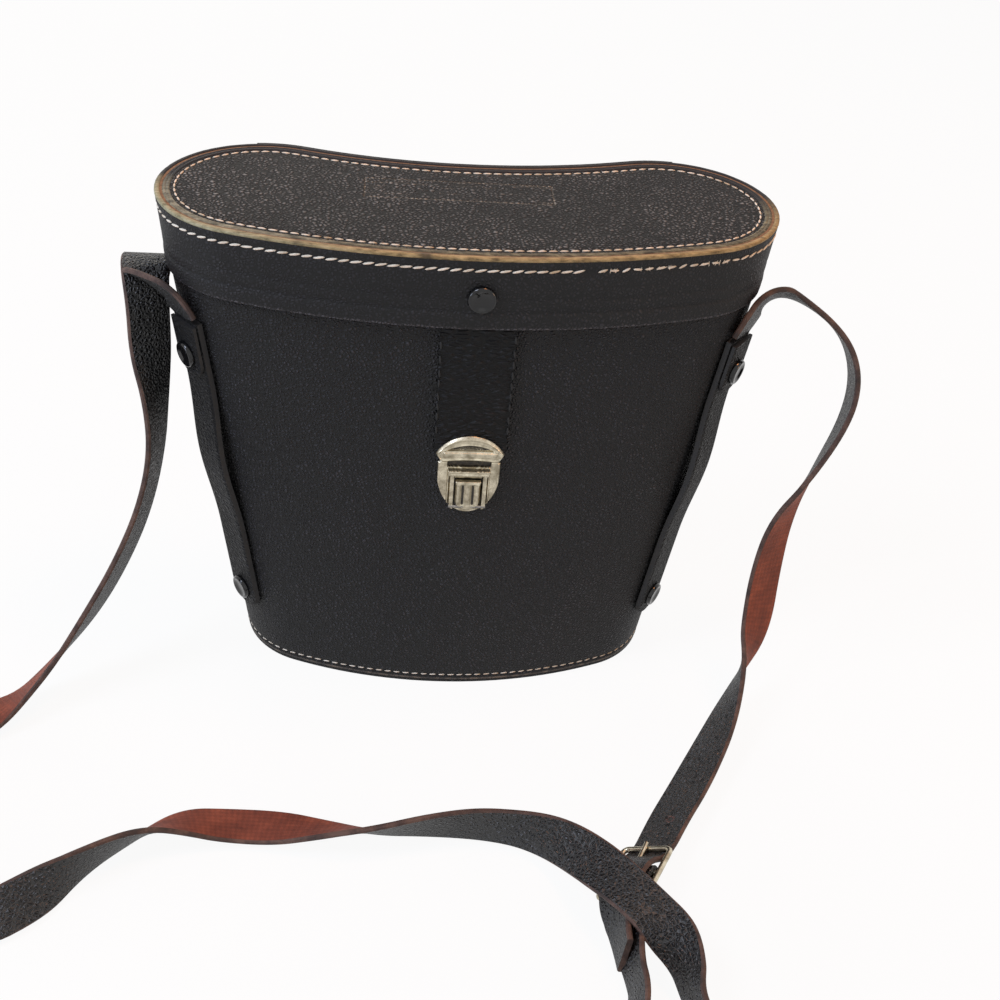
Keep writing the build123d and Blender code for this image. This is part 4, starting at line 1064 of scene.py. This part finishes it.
def makeStitches():
    bm = bmesh.new()
    up, pulledIn = Vector((0, 0, 1)), -0.25
    look = stitchLooks["top"]
    for spot, way, out in stitchRound(lid.ring(lidLook["panelZ"] - 0.1, -lidLook["panelSeamIn"]), look):
        addStitch(bm, spot, way, up, look)
    piece = finishPiece("topStitches", bm, whiteThread, "lid")
    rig.replaces(piece, "lid_top_stitching")
    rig.slot(piece, "white_thread")

    bm = bmesh.new()
    look = stitchLooks["skirt"]
    hair = dict(look, thick=0.3, sink=-0.1)
    first, last = skirtWear["frayed"]

    def behindHinge(spot):
        return spot.y > 0 and abs(spot.x) < skirtWear["hingeHalf"]

    for spot, way, out in stitchRound(lid.ring(lidLook["seamZ"], pulledIn), look, behindHinge):
        if not first < spot.x < last or spot.y >= 0:
            addStitch(bm, spot, way, out, look)
            continue
        if spot.x < skirtWear["goneTo"]:
            continue
        addStitch(bm, spot, way, out, look, dice.uniform(-6, 30), skirtWear["shortened"])
        for number in range(dice.choice((0, 1, 2, 3))):
            loose = spot + way * dice.uniform(-1.5, 1.5)
            slant, length = dice.uniform(20, 110), dice.uniform(1.4, 2.6)
            addStitch(bm, loose, way, out, hair, slant, length)
    piece = finishPiece("skirtStitches", bm, whiteThread, "lid")
    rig.replaces(piece, "skirt_stitching")
    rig.slot(piece, "white_thread")

    bm = bmesh.new()
    look = stitchLooks["base"]
    for spot, way, out in stitchRound(body.ring(bodyLook["seamZ"], pulledIn), look):
        addStitch(bm, spot, way, out, look)
    piece = finishPiece("baseStitches", bm, whiteThread, "case")
    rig.replaces(piece, "base_stitching")
    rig.slot(piece, "white_thread")


makeStitches()
print("stitches sewn")


# leather hinge: a flap down the lid's back and a leg at each end
hingeLook = {
    "half": 75,           # half the length
    "leg": 21,            # length of each leg
    "thickness": 1.25,
    "off": 0.04,          # off the wall
    "low": 125.2,
    "high": 185.6,
    "seams": (128.2, 183),
    "columns": 100,
    "rows": 44,
}


def backPoint(x, z, grow):
    # on the lid's back above the joint, on the body's below, eased between
    mouth = levels["mouth"]
    upper = lid.wall(x, max(z, mouth + 0.2), grow, False)
    lower = body.wall(x, min(z, mouth - 0.4), grow, False)
    t = ease(mouth - 2.4, mouth + 1.2, z)
    return Vector((x, lower.y + (upper.y - lower.y) * t, z))


def makeHinge(look):
    half, leg = look["half"], look["leg"]
    bm = bmesh.new()
    bmesh.ops.create_grid(bm, x_segments=look["columns"], y_segments=look["rows"], size=1)
    for vertex in bm.verts:
        rise = (vertex.co.y + 1) / 2
        vertex.co = (vertex.co.x * half, 0, look["low"] + rise * (look["high"] - look["low"]))
    middles = [(face, face.calc_center_median()) for face in bm.faces]
    bare = [face for face, spot in middles if spot.z < levels["mouth"] + 0.2 and abs(spot.x) < half - leg]
    bmesh.ops.delete(bm, geom=bare, context="FACES")
    for vertex in bm.verts:
        vertex.co = backPoint(vertex.co.x, vertex.co.z, look["off"]) * mm
    made = bmesh.ops.extrude_face_region(bm, geom=bm.faces[:])["geom"]
    for vertex in madeVerts(made):
        spot = vertex.co / mm
        lift = look["thickness"] * (0.8 if vertex.is_boundary else 1)
        vertex.co = backPoint(spot.x, spot.z, look["off"] + lift) * mm
    bmesh.ops.recalc_face_normals(bm, faces=bm.faces)
    piece = finishPiece("hingeLeather", bm, tabHide, angle=50)
    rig.replaces(piece, "hinge_flap", "hinge_leg_left", "hinge_leg_right")
    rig.slot(piece, "black_leather")
    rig.blend(piece, "case", "lid", start=(0, 0.0432, 0.1578), end=(0, 0.0432, 0.1622))

    stitch = stitchLooks["black"]
    right, outward = Vector((1, 0, 0)), Vector((0, 1, 0))
    lowSeam, highSeam = look["seams"]
    bm = bmesh.new()
    reach = half - 3
    for number in range(round(2 * reach / stitch["pitch"]) + 1):
        x = -reach + number * stitch["pitch"]
        if x <= reach:
            addStitch(bm, backPoint(x, highSeam, look["thickness"]), right, outward, stitch)
    piece = finishPiece("hingeStitchesUpper", bm, blackThread, "lid")
    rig.replaces(piece, "hinge_stitching_upper")
    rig.slot(piece, "black_thread")
    bm = bmesh.new()
    for side in (-1, 1):
        for number in range(5):
            x = side * (half - 3.4 - number * 3.5)
            addStitch(bm, backPoint(x, lowSeam, look["thickness"]), right, outward, stitch)
    piece = finishPiece("hingeStitchesLower", bm, blackThread, "case")
    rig.replaces(piece, "hinge_stitching_lower")
    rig.slot(piece, "black_thread")


makeHinge(hingeLook)
print("hinge made")

# closing tab, from inside the skirt down under the hasp
tabLook = {
    "middle": 2,          # the tab, lock and lid rivet are right of the middle
    "width": 25.4,
    "thickness": 1.3,
    "gap": 0.2,           # to the body
    "tuck": 2.22,         # how far inside the skirt's face it goes up
    "low": 109.7,
    "high": 176.6,
    "seamIn": 1.5,
    "seam": (119.6, 157.5),
}


def tabPoint(x, z, grow):
    # against the body's front, and inside the skirt above it
    turnZ = levels["mouth"] - 0.6
    if z < turnZ:
        return body.wall(x, z, grow + tabLook["gap"])
    inside = lid.wall(x, max(z, turnZ + 1), grow - tabLook["tuck"])
    below = body.wall(x, turnZ, grow + tabLook["gap"])
    t = min((z - turnZ) / 1.4, 1)
    return Vector((x, below.y + (inside.y - below.y) * t, z))


def makeTab(look):
    bm = bmesh.new()
    bmesh.ops.create_grid(bm, x_segments=20, y_segments=64, size=1)
    for vertex in bm.verts:
        u, v = vertex.co.x, (vertex.co.y + 1) / 2
        z = look["low"] + v * (look["high"] - look["low"])
        wander = 0.25 * math.sin(z * 0.31) + 0.15 * math.sin(z * 0.83 + 1)
        x = look["middle"] + u * (look["width"] / 2 - 0.3) + (wander if abs(u) > 0.9 and z < 159 else 0)
        vertex.co = tabPoint(x, z, 0) * mm
    made = bmesh.ops.extrude_face_region(bm, geom=bm.faces[:])["geom"]
    for vertex in madeVerts(made):
        x, z = vertex.co.x / mm, vertex.co.z / mm
        u = (x - look["middle"]) / (look["width"] / 2)
        edge = max(0, (abs(u) - 0.86) / 0.14) ** 2 * 0.35
        fromSeam = (abs(u) - 1) * look["width"] / 2 + look["seamIn"]
        groove = 0.22 * math.exp(-(fromSeam / 0.5) ** 2)
        puff = 0.0 if z > 159 else 0.08 * math.sin(z * 0.9 + x * 0.12)
        depth = look["thickness"] - 0.08 - edge - groove + puff * (1 - abs(u))
        vertex.co = tabPoint(x, z, depth) * mm
    bmesh.ops.recalc_face_normals(bm, faces=bm.faces)
    piece = finishPiece("tabLeather", bm, tabHide, angle=55)
    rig.replaces(piece, "closure_tab", "tab_root")
    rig.slot(piece, "black_leather")
    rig.blend(piece, "lid", "tab", start=(0.002, -0.0405, 0.1616), end=(0.002, -0.0405, 0.1580))

    bm = bmesh.new()
    stitch = dict(stitchLooks["black"], thick=0.85, length=3.4)
    upward = Vector((0, -0.02, 1)).normalized()
    for side in (-1, 1):
        x = look["middle"] + side * (look["width"] / 2 - 0.5)
        out = Vector((side * 0.35, -1, 0)).normalized()
        z, last = look["seam"]
        while z < last:
            addStitch(bm, tabPoint(x, z, look["thickness"] - 0.45), upward, out, stitch)
            z += dice.choice((3.9, 4.2, 5.4))
    piece = finishPiece("tabStitches", bm, blackThread, "tab")
    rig.replaces(piece, "tab_stitching")
    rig.slot(piece, "black_thread")


makeTab(tabLook)
print("tab made")

# press lock, pressed from sheet: x across, y up the wall, z out of it
slope = (outlines["mouth"][1] - outlines["base"][1]) / 2 / levels["mouth"]
tall = math.hypot(1, slope)
wallAxes = ((1, 0, 0), (0, -slope / tall, 1 / tall), (0, -1 / tall, -slope / tall))
wallFoot = Vector((tabLook["middle"], -outlines["base"][1] / 2, 0)) * mm
wallFrame = Matrix.Translation(wallFoot) @ Matrix(wallAxes).transposed().to_4x4() @ Matrix.Scale(mm, 4)


def slab(value, half, soft):
    # 1 inside a band, 0 outside, with a pressed shoulder
    return 1 - ease(half - soft / 2, half + soft / 2, abs(value))


def pressedPlate(name, grid, half, lowEdge, highEdge, height, back, rider, deep):
    # a sheet pressed to height(x, y, edge), its rim turned back to the wall; painted shade on the inner faces below
    # deep
    bm = bmesh.new()
    bmesh.ops.create_grid(bm, x_segments=grid[0], y_segments=grid[1], size=1)
    for vertex in bm.verts:
        x = vertex.co.x * half
        low, high = lowEdge(x), highEdge(x)
        y = low + (high - low) * (vertex.co.y + 1) / 2
        edge = min(half - abs(x), y - low, high - y)
        vertex.co = (x, y, height(x, y, max(edge, 0)))
    hem, rim = extrudeRing(bm, [edge for edge in bm.edges if edge.is_boundary])
    for vertex in hem:
        vertex.co.z = back
    bmesh.ops.edgeloop_fill(bm, edges=rim)
    turned = set(hem)
    outer = turned | {edge.other_vert(vertex) for vertex in hem for edge in vertex.link_edges}
    for face in bm.faces:
        inner = not any(vertex in outer for vertex in face.verts)
        # painted shade: inner faces below deep take the recess shade material
        face.material_index = 1 if inner and face.calc_center_median().z < deep else 0
    bmesh.ops.transform(bm, matrix=wallFrame, verts=bm.verts)
    bmesh.ops.recalc_face_normals(bm, faces=bm.faces)
    piece = finishPiece(name, bm, [nickel, recessShade], rider, angle=50)
    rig.slot(piece, "nickel_plate")
    return piece


haspLook = {
    "half": 11.85, "ears": 110.5, "crown": 117.7, "foot": 106.9,
    "plate": 2.35, "lensY": 111.9, "barY": 110.6,
}
lockLook = {
    "half": 10.95, "top": 106.8, "toe": 84.4, "round": 16.5,
    "plate": 1.15, "slotY": 105.4, "barY": 102.6,
}
tongueLook = {"half": 4.45, "toe": 86.95, "top": 99.2, "plate": 3.1, "ribs": 2.5, "ribHeight": 0.5}


def makeHasp(look):
    half = look["half"]

    def highEdge(x):
        sag = look["crown"] - look["ears"]
        radius = (half ** 2 + sag ** 2) / (2 * sag)
        return look["crown"] - radius + math.sqrt(max(radius ** 2 - x ** 2, 0))

    def lowEdge(x):
        # round ears, hollow in the middle
        arch = 0.55 * max(1 - (x / 8.2) ** 2, 0)
        return look["foot"] + arch + 3.4 * ease(9.2, half + 0.4, abs(x)) ** 1.5

    def height(x, y, edge):
        rolled = 0.7 * (1 - min(edge / 0.9, 1)) ** 2
        rise = 0.3 * math.exp(-((edge - 1.0) / 0.35) ** 2)
        top = look["lensY"] + 2.5 * max(1 - (x / 8.8) ** 2, 0)
        scoop = ease(0, 0.5, top - y) * ease(0, 0.5, y - look["lensY"] + 0.3) * slab(x, 8.9, 0.4)
        outline = 0.22 * math.exp(-((y - top) / 0.35) ** 2) * slab(x, 9.4, 0.4)
        bar = slab(x, 9.2, 0.4) * slab(y - look["barY"], 0.75, 0.4)
        frame = slab(x, 10.0, 0.3) * slab(y - look["barY"], 1.5, 0.3)
        return look["plate"] - rolled + rise + outline + 0.55 * bar + 0.2 * frame - 0.85 * scoop

    piece = pressedPlate("haspPlate", (108, 72), half, lowEdge, highEdge, height, 1.5, "tab", 1.6)
    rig.replaces(piece, "hasp_plate")


def makeLock(look):
    half = look["half"]

    def highEdge(x):
        return look["top"] - 0.8 * ease(half - 1.4, half, abs(x))

    def lowEdge(x):
        return look["toe"] + look["round"] * (1 - math.sqrt(max(1 - (x / half) ** 2, 0)))

    def height(x, y, edge):
        rolled = 0.75 * (1 - min(edge / 1.0, 1)) ** 2
        slot = slab(x, 7.6, 0.3) * slab(y - look["slotY"], 0.95, 0.3)
        window = slab(x, 4.8, 0.25) * ease(86.3, 86.7, y) * ease(99.7, 99.4, y)
        bar = slab(x, 7.4, 0.4) * slab(y - look["barY"], 1.15, 0.4)
        barGroove = slab(x, 6.6, 0.3) * slab(y - look["barY"], 0.25, 0.25)
        rails = slab(abs(x) - 5.75, 0.85, 0.35) * ease(86.6, 87.4, y) * ease(102.6, 101.6, y)
        outer = slab(abs(x) - 7.15, 0.3, 0.3) * ease(88.4, 89.4, y) * ease(102.6, 101.6, y)
        raised = max(1.9 * bar - 0.18 * barGroove, 1.75 * rails, 0.7 * outer)
        cut = max(slot, window * (1 - bar) * (1 - rails))
        return look["plate"] - rolled + raised - (look["plate"] - 0.12) * cut

    piece = pressedPlate("lockShield", (150, 150), half, lowEdge, highEdge, height, 0.0, "case", 0.6)
    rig.replaces(piece, "lock_body")


def makeTongue(look):
    half = look["half"]

    def lowEdge(x):
        return look["toe"] + half - math.sqrt(max(half ** 2 - x ** 2, 0))

    def height(x, y, edge):
        rolled = 0.6 * (1 - min(edge / 0.8, 1)) ** 2
        fluted = ease(88.2, 89.6, y) * ease(98.6, 97.2, y) * slab(x, 3.9, 0.8)
        ribs = look["ribHeight"] * math.cos(x / half * math.pi * look["ribs"]) * fluted
        head = 0.3 * ease(97.4, 98.2, y)
        return look["plate"] - rolled + ribs + head

    def highEdge(x):
        return look["top"]

    piece = pressedPlate("pressTongue", (60, 60), half, lowEdge, highEdge, height, 1.6, "tongue", 2.72)
    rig.replaces(piece, "press_tongue")


makeHasp(haspLook)
makeLock(lockLook)
makeTongue(tongueLook)
print("lock made")

# rivets: black caps, dished with a rounded rim
rivetLook = {
    "radius": 4.75,
    "height": 1.85,
    "dish": 0.75,
    "shank": 1.6,
    "head": 2.4,
    "grip": 3.0,                            # through the case's layers
    "places": ((30, 2.35), (134, 4.0)),     # on each side: height, and leather under the cap
    "lidZ": 171.4,
    "steps": 40,
}
sideAngle = 36      # degrees from the tip of each end round to the front
lidSlope = (outlines["rim"][1] - outlines["skirt"][1]) / 2 / (levels["rim"] - levels["mouth"])


def sideFrame(side, z, depth):
    # on a round end: x across, y up the wall, z out
    angle = math.radians(sideAngle)
    out = Vector((side * math.cos(angle), -math.sin(angle), 0))
    feet = []
    for key, level in (("base", 0), ("mouth", levels["mouth"])):
        width, deep, radius, _ = outlines[key]
        feet.append(Vector((side * (width / 2 - radius), deep / 2 - radius, level)) + out * radius)
    up = (feet[1] - feet[0]).normalized()
    normal = (out - up * out.dot(up)).normalized()
    spot = feet[0].lerp(feet[1], z / levels["mouth"]) + normal * depth
    turn = Matrix((up.cross(normal), up, normal)).transposed().to_4x4()
    return Matrix.Translation(spot * mm) @ turn @ Matrix.Scale(mm, 4)


def lidRivetFrame(z):
    y = -(outlines["skirt"][1] / 2 + lidSlope * (z - levels["mouth"]))
    out = Vector((0, -1, -lidSlope)).normalized()
    up = Vector((0, -lidSlope, 1)).normalized()
    turn = Matrix((Vector((1, 0, 0)), up, out)).transposed().to_4x4()
    return Matrix.Translation(Vector((tabLook["middle"], y, z)) * mm) @ turn @ Matrix.Scale(mm, 4)


def addRivet(bm, look, through):
    radius, high, dish = look["radius"], look["height"], look["dish"]
    shank, head = look["shank"], look["head"]
    profile = [(0, high - dish), (radius * 0.3, high - dish + 0.02), (radius * 0.55, high - dish * 0.75)]
    profile += [(radius * 0.74, high - 0.12), (radius * 0.84, high), (radius * 0.93, high - 0.18)]
    profile += [(radius, high * 0.55), (radius * 0.99, 0.1), (radius * 0.9, 0), (shank, 0)]
    profile += [(shank, -through - 0.9), (head, -through - 0.9), (head, -through - 1.3)]
    profile += [(0, -through - 1.4)]
    chain = [bm.verts.new((x, 0, z)) for x, z in profile]
    edges = [bm.edges.new(pair) for pair in zip(chain, chain[1:])]
    bmesh.ops.spin(
        bm, geom=chain + edges, cent=(0, 0, 0), axis=(0, 0, 1),
        angle=2 * math.pi, steps=look["steps"], use_merge=True,
    )


def makeRivets(look):
    grip = look["grip"]
    sides = [
        (sideFrame(side, z, depth), depth + grip) for side in (-1, 1) for z, depth in look["places"]
    ]
    for name, node, places, rider in (
        ("sideRivets", "side_rivets", sides, "case"),
        ("lidRivet", "lid_rivet", [(lidRivetFrame(look["lidZ"]), grip)], "lid"),
    ):
        bm = bmesh.new()
        for place, through in places:
            part = bmesh.new()
            addRivet(part, look, through)
            bmesh.ops.remove_doubles(part, verts=part.verts, dist=0.0005)
            bmesh.ops.recalc_face_normals(part, faces=part.faces)
            bmesh.ops.transform(part, matrix=place, verts=part.verts)
            mesh = bpy.data.meshes.new("part")
            part.to_mesh(mesh)
            part.free()
            bm.from_mesh(mesh)
            bpy.data.meshes.remove(mesh)
        piece = finishPiece(name, bm, enamel, rider, angle=50)
        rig.replaces(piece, node)
        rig.slot(piece, "black_enamel")


makeRivets(rivetLook)
print("rivets set")

# the straps' ends down the sides, and the short leathers over them
sideLook = {
    "strip": {"width": 16, "low": 21, "high": 147, "depth": 0.15, "thickness": 2.2, "bow": 2.0},
    "anchor": {"width": 15, "low": 125, "high": 146, "depth": 2.5, "thickness": 1.5, "bow": 0},
    "bowed": (58, 124),     # between these heights the strip stands off the wall
}


def makeSideLeather(name, side, look, material, node):
    # heights are turned into lengths up the leaning wall
    mouth = levels["mouth"]
    lean = sideFrame(side, mouth, 0).translation - sideFrame(side, 0, 0).translation
    wallRise = lean.length / mm / mouth
    low, high = look["low"] * wallRise, look["high"] * wallRise
    half = look["width"] / 2

    def reachAt(y):
        # the lower end is round
        inward = max(0, half - (y - low)) / half
        return (half - 0.1) * math.sqrt(max(1 - inward ** 2, 0.0004))

    bm = bmesh.new()
    bmesh.ops.create_grid(bm, x_segments=16, y_segments=round((high - low) / 1.5), size=1)
    for vertex in bm.verts:
        y = low + (high - low) * (vertex.co.y + 1) / 2
        vertex.co = (vertex.co.x * reachAt(y), y, 0)
    made = bmesh.ops.extrude_face_region(bm, geom=bm.faces[:])["geom"]
    top = set(madeVerts(made))
    bowLow, bowHigh = sideLook["bowed"]
    for vertex in bm.verts:
        y = vertex.co.y
        bow = look["bow"] * max(0, math.sin(math.pi * ease(bowLow * wallRise, bowHigh * wallRise, y)))
        edge = min(reachAt(y) - abs(vertex.co.x), y - low)
        soft = 0.35 * (1 - min(max(edge, 0) / 1.2, 1)) ** 2 if vertex in top else 0
        vertex.co.z = look["depth"] + bow + (look["thickness"] if vertex in top else 0) - soft
    bmesh.ops.transform(bm, matrix=sideFrame(side, 0, 0), verts=bm.verts)
    bmesh.ops.recalc_face_normals(bm, faces=bm.faces)
    out = sideFrame(side, 0, 0).col[2].xyz.normalized()
    setMaterials(bm, lambda spot, normal: 0 if abs(normal.dot(out)) > 0.7 else 1)
    piece = finishPiece(name, bm, [material, stripEdge], "case", angle=55)
    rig.replaces(piece, node)
    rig.slot(piece, "strap_leather")


for label, side in (("Left", -1), ("Right", 1)):
    strip, anchor = "side_strip_" + label.lower(), "strap_anchor_" + label.lower()
    makeSideLeather("sideStrip" + label, side, sideLook["strip"], tabHide, strip)
    makeSideLeather("strapAnchor" + label, side, sideLook["anchor"], tabHide, anchor)
print("side leathers made")

# the CAD nodes that stay, in their finishes
kept = {
    "base_cover": bodyCloth, "body_core": greyboard, "base_board": greyboard, "inner_collar": greyboard,
    "lid_skirt_core": greyboard, "lid_top_board": greyboard,
    "body_lining": flock, "base_lining": flock, "lid_lining": flock,
    "lock_back_plate": plainSteel, "hasp_back_plate": plainSteel, "tongue_pin": plainSteel,
    "tongue_spring": plainSteel, "side_rivet_washers": plainSteel, "lid_rivet_washer": plainSteel,
    "buckle_frame": nickel, "buckle_prong": nickel, "buckle_chape": strapHide,
}
for name, material in kept.items():
    mesh = frame["nodes"][name].data
    mesh.materials.clear()
    mesh.materials.append(material)

# floor and light
lightLook = {
    "world": 0.24,
    "lamps": {
        # place in metres, size, colour, power in watts
        "key": ((-0.75, -0.35, 1.15), 0.45, "#dfe8ff", 8.5),
        "fill": ((0.1, -1.5, 0.6), 0.7, "#ffffff", 0.5),
        "warm": ((0.34, -0.02, 1.25), 0.3, "#ffa968", 6.0),
        "left": ((-1.2, -0.5, 0.35), 0.4, "#d5e2ff", 4.6),
        "right": ((1.3, -0.55, 0.4), 0.4, "#ffc79a", 3.4),
        "back": ((-0.3, 1.35, 0.85), 0.6, "#fff6ea", 4.6),
    },
    "aim": (0, 0, 0.08),
    "floor": {"half": 4, "colour": "#f4f4f4", "below": 0.2, "glow": 0.93},
}


def seenRays(tree):
    # 1 for what the camera sees, straight or in metal or glass
    light = addNode(tree, "LightPath")
    shiny = addNode(
        tree, "Math", {0: light.outputs["Is Glossy Ray"], 1: light.outputs["Is Transmission Ray"]},
        operation="MAXIMUM",
    )
    seen = addNode(
        tree, "Math", {0: light.outputs["Is Camera Ray"], 1: shiny.outputs[0]}, operation="MAXIMUM"
    )
    return seen.outputs[0]


def makeFloor(look):
    bm = bmesh.new()
    bmesh.ops.create_grid(bm, x_segments=1, y_segments=1, size=look["half"])
    bmesh.ops.translate(bm, vec=(0, 0, -look["below"] * mm), verts=bm.verts)
    material = bpy.data.materials.new("white studio paper")
    material.use_nodes = True
    tree = material.node_tree
    tree.nodes.clear()
    paper = addNode(tree, "BsdfDiffuse", {"Color": linear(look["colour"])})
    glow = addNode(tree, "Emission", {"Color": (1, 1, 1, 1), "Strength": 1.0})
    part = addNode(tree, "Math", {0: seenRays(tree), 1: look["glow"]}, operation="MULTIPLY")
    mixed = addNode(tree, "MixShader", {0: part.outputs[0], 1: paper.outputs[0], 2: glow.outputs[0]})
    addNode(tree, "OutputMaterial", {"Surface": mixed.outputs[0]})
    floor = finishPiece("floor", bm, material)
    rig.stage(floor)


def makeLights(look):
    world = bpy.data.worlds.new("studio")
    scene.world = world
    world.use_nodes = True
    tree = world.node_tree
    tree.nodes.clear()
    level = addNode(tree, "MapRange", {"Value": seenRays(tree), "To Min": look["world"], "To Max": 1.0})
    ground = addNode(tree, "Background", {"Color": (1, 1, 1, 1), "Strength": level.outputs[0]})
    addNode(tree, "OutputWorld", {"Surface": ground.outputs[0]})
    for name, (spot, size, tint, power) in look["lamps"].items():
        data = bpy.data.lights.new(name, "AREA")
        data.size = size
        data.energy = power
        data.color = linear(tint)[:3]
        lamp = bpy.data.objects.new(name, data)
        scene.collection.objects.link(lamp)
        lamp.location = spot
        lamp.rotation_euler = (Vector(spot) - Vector(look["aim"])).to_track_quat("Z", "Y").to_euler()


makeFloor(lightLook["floor"])
makeLights(lightLook)
print("stage lit")

with open("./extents.json", "w") as sizes:
    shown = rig.bounds()
    json.dump({"cad": [list(map(float, corner)) for corner in cadBounds], "shown": [list(map(float, corner)) for corner in shown]}, sizes)
